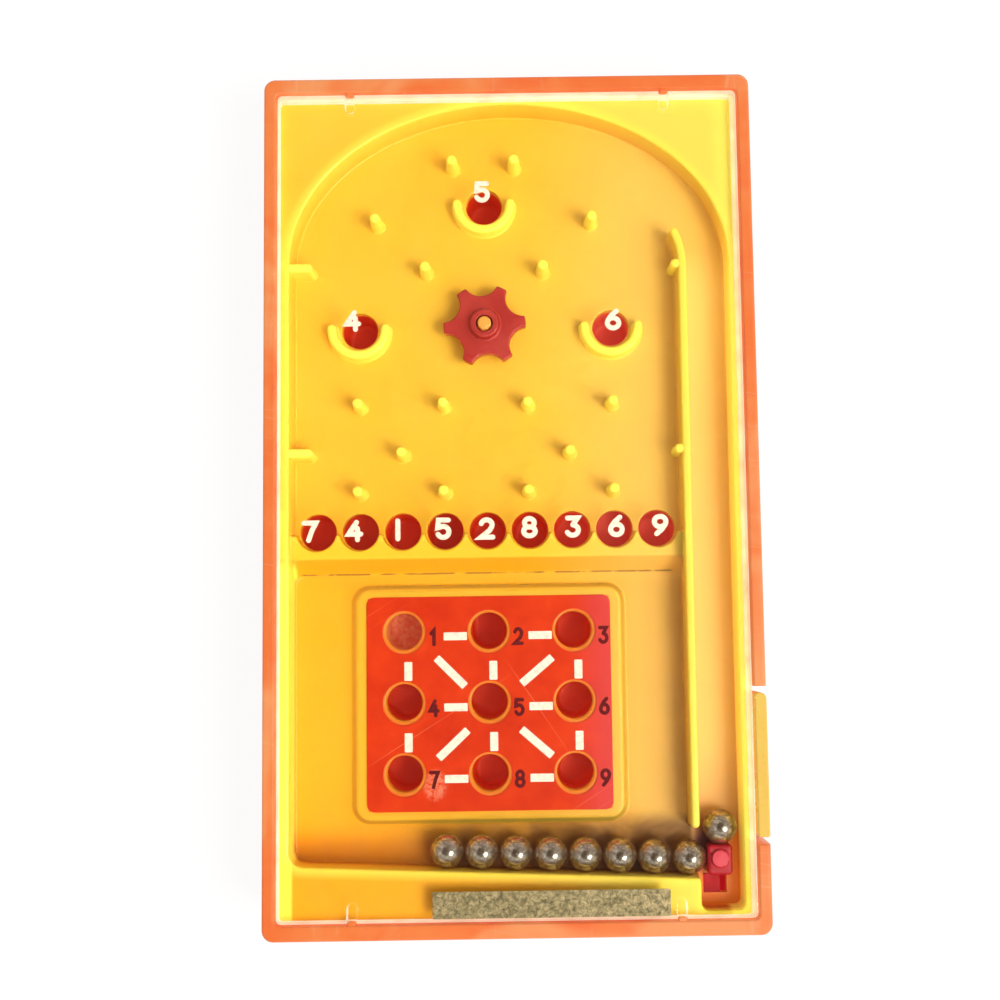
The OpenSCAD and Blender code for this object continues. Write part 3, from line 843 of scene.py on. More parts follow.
class Graph:
    """The shader nodes of one material, with one short method for each kind used here."""

    def __init__(self, name: str) -> None:
        """Makes an empty material."""
        self.material = bpy.data.materials.new(name)
        self.material.use_nodes = True
        self.tree = self.material.node_tree
        self.tree.nodes.clear()
        self.place = self.node("ShaderNodeTexCoord").outputs["Object"]
        self.axes: dict[str, Socket] = {}

    def node(self, kind: str, **settings: object) -> bpy.types.Node:
        """Adds a node with the given settings."""
        made = self.tree.nodes.new(kind)
        for name, value in settings.items():
            setattr(made, name, value)
        return made

    def put(self, socket: Socket, value: object) -> None:
        """Links a socket to another, or sets its value."""
        if isinstance(value, Socket):
            self.tree.links.new(value, socket)
        else:
            socket.default_value = value

    def math(self, kind: str, *values: object, clamp: bool = False) -> Socket:
        """A sum on numbers."""
        made = self.node("ShaderNodeMath", operation=kind, use_clamp=clamp)
        for i, value in enumerate(values):
            self.put(made.inputs[i], value)
        return made.outputs[0]

    def noise(
        self, size: float, detail: float = 3, rough: float = 0.55, stretch: Sequence[float] = (1, 1, 1),
        warp: float = 0.0, turn: float = 0.0,
    ) -> Socket:
        """Noise from 0 to 1.

        Args:
            size: Size of its spots in millimetres.
            detail: How many finer noises are laid over it.
            rough: How strong the finer noises are.
            stretch: How much longer the spots are along each axis.
            warp: How much the noise is bent by itself.
            turn: Turn of the stretched spots about Z, in degrees.

        Returns:
            The socket of the noise.
        """
        at = self.node("ShaderNodeMapping", vector_type="TEXTURE")
        self.put(at.inputs["Vector"], self.place)
        at.inputs["Scale"].default_value = [size * MM * s for s in stretch]
        at.inputs["Rotation"].default_value = (0, 0, math.radians(turn))
        made = self.node("ShaderNodeTexNoise")
        self.put(made.inputs["Vector"], at.outputs[0])
        made.inputs["Scale"].default_value = 1.0
        made.inputs["Detail"].default_value = detail
        made.inputs["Roughness"].default_value = rough
        made.inputs["Distortion"].default_value = warp
        return made.outputs["Fac"]

    def steps(self, factor: object, *stops: tuple[float, Sequence[float]]) -> Socket:
        """A colour that runs through the given stops, each a place from 0 to 1 and a screen colour."""
        ramp = self.node("ShaderNodeValToRGB")
        self.put(ramp.inputs[0], factor)
        marks = ramp.color_ramp.elements
        while len(marks) < len(stops):
            marks.new(0.5)
        for mark, (at, colour) in zip(marks, stops):
            mark.position = at
            mark.color = linear(colour)
        return ramp.outputs[0]

    def between(
        self, factor: object, low: float, high: float, to_low: float = 0, to_high: float = 1
    ) -> Socket:
        """Maps a number from one range to another, smoothly and without leaving it."""
        made = self.node("ShaderNodeMapRange", interpolation_type="SMOOTHSTEP")
        for i, value in enumerate((factor, low, high, to_low, to_high)):
            self.put(made.inputs[i], value)
        return made.outputs[0]

    def shade(self, colour: object) -> object:
        """A colour as a shader takes it, given as a socket or as a screen colour."""
        return colour if isinstance(colour, Socket) else linear(colour)

    def mix(self, factor: object, a: object, b: object) -> Socket:
        """Mixes two colours, given as sockets or as screen colours."""
        made = self.node("ShaderNodeMix", data_type="RGBA")
        for place, value in ((0, factor), (6, self.shade(a)), (7, self.shade(b))):
            self.put(made.inputs[place], value)
        return made.outputs[2]

    def axis(self, name: str) -> Socket:
        """X, Y or Z of the place, in millimetres."""
        if name not in self.axes:
            split = self.node("ShaderNodeSeparateXYZ")
            self.put(split.inputs[0], self.place)
            self.axes[name] = self.math("DIVIDE", split.outputs[name], MM)
        return self.axes[name]

    def zone(self, *masks: object, x: Fades = (), y: Fades = (), z: Fades = ()) -> Socket:
        """1 in one part of the game and 0 outside it, by fades along X, Y and Z, times the masks."""
        fades = [(name, fade) for name, given in zip("XYZ", (x, y, z)) for fade in given]
        return self.times(*masks, *(self.between(self.axis(name), *fade) for name, fade in fades))

    def spot(self, x: float, y: float, rx: float, ry: float, soft: float = 0.6) -> Socket:
        """1 inside an upright ellipse on the board, and 0 away from it."""
        u = self.math("DIVIDE", self.math("SUBTRACT", self.axis("X"), x), rx)
        v = self.math("DIVIDE", self.math("SUBTRACT", self.axis("Y"), y), ry)
        r = self.math("SQRT", self.math("ADD", self.math("MULTIPLY", u, u), self.math("MULTIPLY", v, v)))
        return self.between(r, 1 - soft / 2, 1 + soft / 2, 1, 0)

    def times(self, *values: object) -> Socket:
        """The product of several numbers."""
        return reduce(lambda a, b: self.math("MULTIPLY", a, b), values)

    def most(self, *values: object) -> Socket:
        """The largest of several numbers."""
        return reduce(lambda a, b: self.math("MAXIMUM", a, b), values)

    def bump(self, height: object, depth: float, strength: float = 1.0, after: object = None) -> Socket:
        """A bumped normal from a height of 0 to 1 over the given depth in millimetres."""
        made = self.node("ShaderNodeBump")
        made.inputs["Strength"].default_value = strength
        made.inputs["Distance"].default_value = depth * MM
        self.put(made.inputs["Height"], height)
        if after is not None:
            self.put(made.inputs["Normal"], after)
        return made.outputs[0]

    def scratches(self, gap: float, turn: float, share: float, width: float = 0.06) -> Socket:
        """Long fine scratches in one direction: 1 on a scratch and 0 beside it."""
        fine = self.noise(width * 4, 2, 0.6, (1, gap / width * 3, 1), 0.0, turn)
        coarse = self.noise(gap * 2, 2, 0.5, (1, 1.6, 1), 0.0, turn)
        line = self.between(fine, 1 - share, 1 - share + 0.05, 0, 1)
        return self.times(line, self.between(coarse, 0.45, 0.6, 0, 1))

    def glossy(
        self, colour: object, roughness: object, metallic: float = 0.0, specular: float = 0.5,
        normal: object = None, **more: object,
    ) -> bpy.types.Node:
        """A Principled shader.

        Args:
            colour: Its base colour.
            roughness: Its roughness.
            metallic: How much of it is metal.
            specular: Its specular level.
            normal: Its bumped normal.
            more: Any other input by name, with low lines for spaces.

        Returns:
            The node.
        """
        made = self.node("ShaderNodeBsdfPrincipled")
        self.put(made.inputs["Base Color"], self.shade(colour))
        self.put(made.inputs["Roughness"], roughness)
        made.inputs["Metallic"].default_value = metallic
        made.inputs["Specular IOR Level"].default_value = specular
        if normal is not None:
            self.put(made.inputs["Normal"], normal)
        for name, value in more.items():
            self.put(made.inputs[name.replace("_", " ")], value)
        return made

    def shadowless(self, shader: Socket) -> Socket:
        """The shader with clear passage for shadow rays, so that it hardly darkens what lies behind it."""
        through = self.node("ShaderNodeBsdfTransparent")
        through.inputs[0].default_value = linear((250, 250, 246))
        both = self.node("ShaderNodeMixShader")
        self.put(both.inputs[0], self.node("ShaderNodeLightPath").outputs["Is Shadow Ray"])
        self.put(both.inputs[1], shader)
        self.put(both.inputs[2], through.outputs[0])
        return both.outputs[0]

    def done(self, shader: Socket) -> Material:
        """Puts the shader on the surface and gives the material."""
        out = self.node("ShaderNodeOutputMaterial")
        self.put(out.inputs["Surface"], shader)
        return self.material


@dataclass(frozen=True)
class Plastic:
    """A moulded plastic: its shades, gloss and fine texture."""

    name: str
    deep: Colour
    plain: Colour
    light: Colour
    roughness: float = 0.35
    patch: float = 9.0
    grain: float = 0.02
    # emission strength: a painted glow, for plastic that is no lamp
    glow: float = 0.0

    def graph(self) -> tuple[Graph, Socket]:
        """The start of the material: its graph and its base colour."""
        g = Graph(self.name)
        shade = g.noise(self.patch, 4, 0.55, warp=0.4)
        return g, g.steps(shade, (0.25, self.deep), (0.5, self.plain), (0.8, self.light))

    def close(self, g: Graph, colour: object, after: object = None, light: object = None) -> Material:
        """Adds the gloss, the fine texture and any painted glow.

        Args:
            g: The graph so far.
            colour: The base colour.
            after: A bumped normal that lies under the fine texture.
            light: The colour of the painted glow, where that isn't its base colour.

        Returns:
            The material.
        """
        ripple = g.bump(g.noise(2.2, 2), self.grain, 0.5, after)
        normal = g.bump(g.noise(0.25, 2), self.grain / 3, 0.4, ripple)
        uneven = g.math("ADD", self.roughness, g.between(g.noise(3.5, 3), 0.3, 0.7, -0.05, 0.08), clamp=True)
        more = {"Emission_Color": light or colour, "Emission_Strength": self.glow} if self.glow else {}
        return g.done(g.glossy(colour, uneven, specular=0.35, normal=normal, **more).outputs[0])

    def material(self) -> Material:
        """The plain material."""
        g, colour = self.graph()
        return self.close(g, colour)


@dataclass(frozen=True)
class WornCase(Plastic):
    """The orange of the case, patchy and rubbed."""

    def material(self) -> Material:
        """The material, with pink patches, pale streaks and fine scratches."""
        g, colour = self.graph()
        red = g.between(g.noise(16, 3, 0.6, warp=0.8), 0.55, 0.7)
        colour = g.mix(g.times(red, 0.55), colour, (252, 104, 50))
        pale = g.between(g.noise(24, 3, 0.55, warp=0.8), 0.5, 0.64)
        colour = g.mix(g.times(pale, 0.55), colour, (255, 178, 116))
        streak = g.between(g.noise(1.3, 3, 0.6, (1, 8, 1), 0.5), 0.6, 0.78)
        colour = g.mix(g.times(streak, 0.35), colour, (255, 196, 146))
        grime = g.between(g.noise(4, 4, 0.7, warp=1.2), 0.62, 0.8)
        colour = g.mix(g.times(grime, 0.25), colour, (176, 78, 44))
        scratch = g.scratches(5, 80, 0.36)
        colour = g.mix(g.times(scratch, 0.35), colour, (255, 200, 160))
        return self.close(g, colour, after=g.bump(scratch, -0.012, 0.6))


@dataclass(frozen=True)
class Tint:
    """A colour laid over one part of a surface, with fades as Graph.zone takes them."""

    part: str
    colour: Colour
    strength: float
    x: Fades = ()
    y: Fades = ()
    z: Fades = ()

    def over(self, g: Graph, base: object) -> Socket:
        """The base colour with the tint laid over it."""
        mixed = g.mix(g.zone(self.strength, x=self.x, y=self.y, z=self.z), base, self.colour)
        mixed.node.label = self.part
        return mixed


def within(centre: float, reach: float, soft: float) -> Fades:
    """Fades that are full within reach of the centre and gone a little beyond it."""
    return (centre - reach - soft, centre - reach), (centre + reach + soft, centre + reach)


@dataclass(frozen=True)
class WornBoard(Plastic):
    """The yellow of the board, with dirt under the cover, and painted light and shade across it."""

    layout: Layout = field(kw_only=True)

    @property
    def low(self) -> Pair:
        """Fade that keeps to what lies near the floor."""
        return self.layout.floor_z + 2.0, self.layout.floor_z + 0.3

    @property
    def high(self) -> Pair:
        """Fade that keeps to the top of the raised edge."""
        return self.layout.edge[1].z - 0.7, self.layout.edge[1].z - 0.2

    @property
    def lane(self) -> Pair:
        """Fade that keeps to the right of the divider."""
        return self.layout.divider_x - 0.65, self.layout.divider_x + 0.35

    @property
    def play(self) -> Pair:
        """Fade that keeps to the left of the divider."""
        return self.layout.divider_x + 0.35, self.layout.divider_x - 0.45

    @property
    def pocket(self) -> dict[str, Fades]:
        """The pocket of the hammer and the foot of the lane."""
        x, z = self.layout.divider_x, self.layout.floor_z
        return {"x": ((x - 0.05, x + 0.95),), "z": ((z + 4.0, z + 2.3),)}

    def material(self) -> Material:
        """The material, with painted highlights and glow, and painted shade mixed with dirt along the recess
        and the trough.
        """
        g, colour = self.graph()
        # edge is the strength of the painted highlight, from the mesh
        edge = g.node("ShaderNodeAttribute", attribute_name="edge").outputs["Fac"]
        colour = self._laid(g, colour, self._faces())
        # painted highlight along the upper edges of raised forms and all over the pins, pegs and cups
        colour = g.mix(g.times(edge, 0.85), colour, (255, 236, 84))
        colour = self._laid(g, colour, self._edges())
        colour = self._grime(g, colour)
        colour = self._laid(g, colour, self._reds())
        nook = self._nook(g)
        # painted shade, dark maroon, to the lower left of the lane ball
        colour = g.mix(g.times(nook, 0.95), colour, (96, 32, 26))
        colour = self._laid(g, self._post(g, colour), [self._slot()])
        return self.close(g, colour, light=self._light(g, edge, nook))

    def _laid(self, g: Graph, colour: object, tints: Iterable[Tint]) -> Socket:
        """The colour with every tint laid over it in turn."""
        return reduce(lambda base, tint: tint.over(g, base), tints, colour)

    def _faces(self) -> tuple[Tint, ...]:
        """Painted light and shade on the floor, the ledge, the lane and the upper end of the edge."""
        row, floor = self.layout.row_y, self.layout.floor_z
        recess, ledge = row - self.layout.recess_drop, floor + self.layout.low_wall
        ledge_y = ((row - 4.2, row - 3.8), (row + 3.2, row + 2.2))
        slope_y = ((recess - 0.7, recess - 0.1), (row - 3.8, row - 4.4))
        lane = {"x": (self.lane,), "z": (self.low,)}
        # painted shade: deeper orange over the lower half, on the slope, at the lower end and at the foot of
        # the lane; painted light: on the ledge, paler to the right, in the lane and on the upper edge
        return (
            Tint("lower half", (247, 172, 2), 0.66, y=((6, -10),)),
            Tint("ledge", (255, 226, 56), 0.5, y=ledge_y, z=((ledge - 0.2, ledge - 0.05),)),
            Tint("slope of the recess", (230, 150, 10), 0.4, y=slope_y, z=((floor + 0.1, floor + 0.4),)),
            Tint("lower end", (246, 160, 4), 0.4, y=((-36, -52),)),
            Tint("right side", (249, 204, 114), 0.5, x=((0, 22),)),
            Tint("lane", (255, 206, 116), 0.85, y=((39, 30),), **lane),
            Tint("foot of the lane", (196, 124, 60), 0.4, y=((-33, -45),), **lane),
            Tint("upper edge", (252, 230, 84), 0.55, x=((-20, 26),), y=((-10, 30),), z=(self.high,)),
        )

    def _edges(self) -> tuple[Tint, ...]:
        """Painted highlights on the raised edge and at the foot of the left edge, and painted shade in the
        trough.
        """
        left = self._left()
        trough = {"x": (self.play,), "z": (self.low,)}
        return (
            Tint("right edge", (255, 246, 104), 0.8, x=((28, 32.4),), z=((13.5, 14.8),)),
            Tint("lower edge", (255, 234, 60), 0.6, x=((2, 20),), y=((-52, -53.5),), z=((14.2, 14.9),)),
            Tint("foot of the left edge", (255, 236, 84), 0.6, **left),
            Tint("shade of the trough", (226, 136, 4), 0.65, y=((-44.5, -48.5),), **trough),
            Tint("lower side of the trough", (180, 98, 6), 0.5, y=((-46.4, -49.4),), **trough),
        )

    def _left(self) -> dict[str, Fades]:
        """The foot of the left edge beside the recess, where a painted highlight and glow go."""
        x, z = self.layout.wall_x, self.layout.floor_z
        return {"x": ((0.7 - x, 0.25 - x),), "y": ((-8, -10),), "z": ((z + 0.1, z + 0.6),)}

    def _grime(self, g: Graph, colour: object) -> Socket:
        """Painted shade mixed with dirt in the corner of the recess and along the trough, and the dark line
        above the panel.
        """
        divider, recess = self.layout.divider_x, self.layout.row_y - self.layout.recess_drop
        corner = g.zone(0.28, x=((15.5, 23.5), (divider + 0.15, divider - 0.45)), y=((-9, -13),))
        base = g.zone(x=((-20, -2), self.play), y=((-42.8, -46.5),))
        cloud = g.between(g.noise(9, 3, 0.6, warp=0.6), 0.3, 0.7, 0.55, 1)
        colour = g.mix(g.zone(g.most(corner, base), cloud, z=(self.low,)), colour, (116, 70, 8))
        broken = g.between(g.noise(1.8, 3), 0.36, 0.5)
        line = g.zone(0.7, broken, x=within(-3.8, 26.0, 0.8), y=within(recess, 0.06, 0.12), z=(self.low,))
        return g.mix(line, colour, (120, 62, 24))

    def _reds(self) -> tuple[Tint, ...]:
        """Painted shade: orange in the pocket and darker at its lower end, orange in the walls of the grid
        holes under the sticker, and faint around the panel.
        """
        x, y, z = self.layout.field_cx, self.layout.panel_y, self.layout.floor_z
        sticker = {"x": within(x, 17.0, 0.2), "y": within(y, 14.8, 0.2), "z": ((z + 0.1, z + 0.7),)}
        around = {"x": within(x, 18.6, 3), "y": within(y, 16.0, 2.6)}
        return (
            Tint("pocket", (226, 112, 8), 0.85, y=((-44, -49),), **self.pocket),
            Tint("lower end of the pocket", (164, 58, 8), 0.6, y=((-54.5, -57.5),), **self.pocket),
            Tint("rim of the sticker", (236, 118, 30), 0.9, **sticker),
            Tint("around the panel", (206, 120, 0), 0.15, **around),
        )

    def _nook(self, g: Graph) -> Socket:
        """Painted shade to the lower left of the lane ball."""
        ball, divider = self.layout.lane_ball, self.layout.divider_x
        round_ball = g.spot(ball.x - 1.9, ball.y - 3.2, 1.7, 3.3, 1.0)
        return g.zone(round_ball, x=((divider - 0.45, divider - 0.05),), z=(self.low,))

    def _post(self, g: Graph, colour: object) -> Socket:
        """Painted red reflection of the wheel on the end of the star's post."""
        star, z, reach = self.layout.star, self.layout.floor_z, 1.2
        end = g.zone(0.8, g.spot(star.x, star.y, reach, reach, 0.1), z=((z + 2.2, z + 2.4),))
        return g.mix(end, colour, (240, 150, 72))

    def _slot(self) -> Tint:
        """The red seen in the wall of the hammer's slot."""
        z = self.layout.floor_z
        side, ends = ((28.3, 28.4), (29.5, 29.4)), ((-57.0, -56.9), (-51, -52))
        return Tint("slot", (190, 20, 44), 1.0, x=side, y=ends, z=((z - 0.01, z - 0.1),))

    def _light(self, g: Graph, edge: Socket, nook: Socket) -> Socket:
        """The colour of the painted glow, an emission: along highlighted edges, on the right wall, in the
        lane, on the panel's step, on the pocket's bank and at the foot of the left edge, and orange in the
        pocket.
        """
        x, y, z = self.layout.field_cx, self.layout.panel_y, self.layout.floor_z
        reach = g.most(g.between(g.axis("Y"), 44, 30), g.between(g.axis("X"), 31.6, 32.2))
        fall = g.between(g.axis("Y"), -58, -38, 0.8, 1)
        wall = g.zone(reach, fall, x=((28.9, 29.9),), z=((z + 0.05, z + 0.8),))
        lane = g.zone(0.3, x=(self.lane,), y=((39, 30), (5, 30)), z=(self.low,))
        step = ((z, z + 0.2), (z + 0.99, z + 0.8))
        panel = g.zone(0.5, x=within(x, 19.8, 0.4), y=within(y, 17.2, 0.4), z=step)
        bank = g.zone(x=((25, 26),), y=((-57.5, -58.1),), z=((z + 0.1, z + 0.8),))
        lit = g.most(wall, lane, g.zone(0.6, **self._left()), g.between(edge, 1, 2, 0, 0.5), panel, bank)
        light = g.mix(lit, (0, 0, 0), (255, 232, 90))
        # the pocket's orange glow stays out of the painted shade by the ball
        clean = g.math("SUBTRACT", 1, nook)
        pocket = g.zone(0.6, clean, x=self.pocket["x"], y=((-44, -49),), z=(self.low,))
        return g.mix(pocket, light, (240, 124, 0))


@dataclass(frozen=True)
class Dusty(Plastic):
    """A plastic that has gathered pale dust in its first grid hole."""

    place: Pair = field(kw_only=True)
    reach: float = 3.4

    def material(self) -> Material:
        """The material, dusty about one place, with painted light, a paler pink, towards the right end of the
        row.
        """
        g, colour = self.graph()
        # painted light: paler pink at the right end of the row
        colour = Tint("haze", (255, 128, 110), 0.5, x=((4, 14),), y=((-8, -7),)).over(g, colour)
        grains = g.between(g.noise(0.8, 4, 0.7), 0.35, 0.65, 0.35, 1.0)
        dust = g.times(g.spot(*self.place, self.reach, self.reach), grains, 0.6)
        return self.close(g, g.mix(dust, colour, (255, 196, 140)))


@dataclass(frozen=True)
class Sticker:
    """The glossy printed sticker of the grid, scratched by the balls."""

    name: str
    worn: Pair

    def material(self) -> Material:
        """The material, with scratches, one milky worn patch, and painted light, a paler pink, on its right
        side.
        """
        g = Graph(self.name)
        colour = g.steps(g.noise(6, 4, 0.6), (0.3, (206, 46, 8)), (0.6, (222, 58, 12)), (0.85, (232, 74, 22)))
        marks = g.most(g.scratches(5, 34, 0.3), g.scratches(7, -58, 0.3))
        colour = g.mix(g.times(marks, 0.3), colour, (255, 168, 120))
        milky = g.times(g.spot(*self.worn, 1.5, 1.9, 0.8), g.between(g.noise(0.5, 4, 0.7), 0.35, 0.6))
        colour = g.mix(g.times(milky, 0.6), colour, (246, 160, 122))
        # painted light: paler pink on the right side
        colour = Tint("right side", (222, 74, 76), 0.75, x=((7, 14),)).over(g, colour)
        rough = g.math("ADD", g.times(g.most(marks, milky), 0.25), 0.24)
        waves = g.bump(g.noise(5, 2), 0.03, 0.5)
        return g.done(g.glossy(colour, rough, specular=0.25, normal=waves).outputs[0])


@dataclass(frozen=True)
class Ink:
    """A flat print."""

    name: str
    colour: Colour
    roughness: float = 0.5

    def material(self) -> Material:
        """The material, slightly uneven in its cover."""
        g = Graph(self.name)
        dark = tuple(int(c * 0.9) for c in self.colour)
        colour = g.steps(g.noise(0.6, 3), (0.3, dark), (0.6, self.colour))
        return g.done(g.glossy(colour, self.roughness, specular=0.2).outputs[0])


@dataclass(frozen=True)
class Metal:
    """A metal surface, clean or tarnished."""

    name: str
    dark: Colour
    plain: Colour
    light: Colour
    roughness: Pair
    spots: float
    dent: float = 0.01
    metallic: float = 1.0
    # strength of a warm emission that paints in the reflection of the plastic around the balls
    glow: float = 0.0
    glow_colour: Colour = (214, 122, 38)

    def material(self) -> Material:
        """The material, mottled with spots, and with a warm emission that paints in the reflection of the
        bright plastic around it.
        """
        g = Graph(self.name)
        shade = g.noise(self.spots, 5, 0.65, warp=0.6)
        colour = g.steps(shade, (0.34, self.dark), (0.5, self.plain), (0.7, self.light))
        rough = g.between(shade, 0.35, 0.65, self.roughness[1], self.roughness[0])
        normal = g.bump(g.noise(self.spots * 0.6, 4, 0.6), self.dent, 0.6)
        warm = {"Emission_Color": linear(self.glow_colour), "Emission_Strength": self.glow}
        body = g.glossy(colour, rough, self.metallic, normal=normal, **(warm if self.glow else {}))
        return g.done(body.outputs[0])


@dataclass(frozen=True)
class Clear:
    """Clear moulded plastic that lets the light through to what lies under it."""

    name: str
    tint: Colour = (255, 255, 252)
    ior: float = 1.49

    def material(self) -> Material:
        """The material: it refracts for the eye, and casts hardly any shadow."""
        g = Graph(self.name)
        marks = g.most(g.scratches(6, 62, 0.35, 0.05), g.scratches(7, -24, 0.345, 0.05))
        rough = g.math("ADD", g.times(marks, 0.12), 0.01)
        waves = g.bump(g.noise(14, 1), 0.02, 0.25)
        body = g.glossy(self.tint, rough, normal=waves, Transmission_Weight=1.0, IOR=self.ior)
        return g.done(g.shadowless(body.outputs[0]))


@dataclass(frozen=True)
class Frosted:
    """The moulded walls of the clear cover, which look milky from above."""

    name: str
    colour: Colour = (255, 248, 232)
    dull: Colour = (240, 228, 208)
    # emission strength: a painted glow
    glow: float = 0.36
    through: float = 0.35

    def material(self) -> Material:
        """The material, milky, lit through from its other side, and with a painted glow from emission."""
        g = Graph(self.name)
        shade = g.steps(g.noise(3, 4), (0.3, self.dull), (0.6, self.colour))
        body = g.glossy(shade, 0.35, Emission_Strength=self.glow, Emission_Color=shade)
        inner = g.node("ShaderNodeBsdfTranslucent")
        g.put(inner.inputs[0], shade)
        lit = g.node("ShaderNodeMixShader")
        lit.inputs[0].default_value = self.through
        g.put(lit.inputs[1], body.outputs[0])
        g.put(lit.inputs[2], inner.outputs[0])
        return g.done(g.shadowless(lit.outputs[0]))


class Palette:
    """The materials of the game, each made once."""

    def __init__(self, layout: Layout) -> None:
        """Makes every material.

        Args:
            layout: The places of the game, which wear and prints follow.
        """
        # A glow on a material is an emission that paints in light: on the case, the board, the tray, the key
        # and its base; on the steel balls it paints in the reflection of the plastic around them.
        self.case = WornCase(
            "case_orange", (250, 114, 52), (253, 131, 66), (255, 148, 82), roughness=0.38, patch=12, glow=0.05
        ).material()
        self.board = WornBoard(
            "board_yellow", (250, 188, 44), (251, 196, 54), (252, 203, 66),
            roughness=0.34, patch=22, glow=0.35, layout=layout,
        ).material()
        self.lever = Plastic(
            "lever_yellow", (250, 196, 80), (253, 208, 92), (255, 218, 110), roughness=0.3, patch=12
        ).material()
        self.tray = Dusty(
            "tray_red", (220, 50, 4), (232, 62, 6), (240, 76, 16),
            roughness=0.4, patch=8, glow=0.1, place=layout.grid[0],
        ).material()
        self.star = Plastic(
            "star_red", (164, 40, 32), (182, 50, 42), (198, 70, 60), roughness=0.32, patch=5
        ).material()
        self.hammer = Plastic(
            "hammer_red", (146, 4, 20), (172, 8, 28), (186, 22, 42), roughness=0.4, patch=2.4, grain=0.03
        ).material()
        self.key = Plastic(
            "key_red", (156, 2, 16), (184, 6, 28), (200, 16, 38),
            roughness=0.6, patch=1.6, grain=0.04, glow=0.08,
        ).material()
        self.key_base = Plastic(
            "key_base_red", (190, 6, 26), (210, 10, 32), (224, 26, 46), roughness=0.5, patch=2, glow=0.35
        ).material()
        # painted highlight: the pink top of the hammer's boss
        self.boss = Plastic(
            "boss_highlight_pink", (196, 44, 62), (212, 60, 78), (222, 80, 96), roughness=0.3, patch=2
        ).material()
        self.steel = Metal(
            "ball_steel", (90, 82, 72), (154, 146, 132), (218, 212, 200),
            roughness=(0.14, 0.27), spots=1.0, dent=0.016, metallic=0.94, glow=0.05,
        ).material()
        self.wire = Metal(
            "spring_steel", (120, 118, 114), (170, 168, 164), (200, 198, 194),
            roughness=(0.22, 0.36), spots=1.0,
        ).material()
        self.foil = Metal(
            "label_foil", (110, 98, 62), (166, 149, 102), (228, 201, 146),
            roughness=(0.4, 0.6), spots=0.6, dent=0.02, metallic=0.35,
        ).material()
        self.clear = Clear("cover_clear").material()
        self.frosted = Frosted("cover_wall").material()
        self.sticker = Sticker("sticker_print", worn=(-11.3, -40.0)).material()
        self.cream = Ink("print_cream", (255, 246, 228)).material()
        self.maroon = Ink("print_maroon", (104, 2, 8), roughness=0.6).material()


# Pieces


@dataclass
class SubAssembly:
    """A group of pieces that are built together."""

    layout: Layout
    paints: Palette

    def build(self) -> None:
        """Builds the pieces in place."""
        raise NotImplementedError

    def place(
        self, shape: Shape, name: str, body: str, slot: str, paints: Sequence[Material],
        nodes: Sequence[str] = (),
    ) -> bpy.types.Object:
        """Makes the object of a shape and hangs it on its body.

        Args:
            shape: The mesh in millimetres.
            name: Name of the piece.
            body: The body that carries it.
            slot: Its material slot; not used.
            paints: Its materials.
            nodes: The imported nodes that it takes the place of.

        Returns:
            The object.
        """
        piece = shape.to_object(name, paints)
        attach(piece, body)
        if nodes:
            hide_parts(*nodes)
        LOG.info("%s: %d faces", name, len(shape.faces))
        return piece


def block(lo: Sequence[float], hi: Sequence[float], edge: float) -> Shape:
    """A box whose edges are all round with the given radius."""
    (x0, y0, z0), (x1, y1, z1) = lo, hi
    return plate(round_box(x1 - x0, y1 - y0, edge, (x0 + x1) / 2, (y0 + y1) / 2, 4), z0, z1, edge)


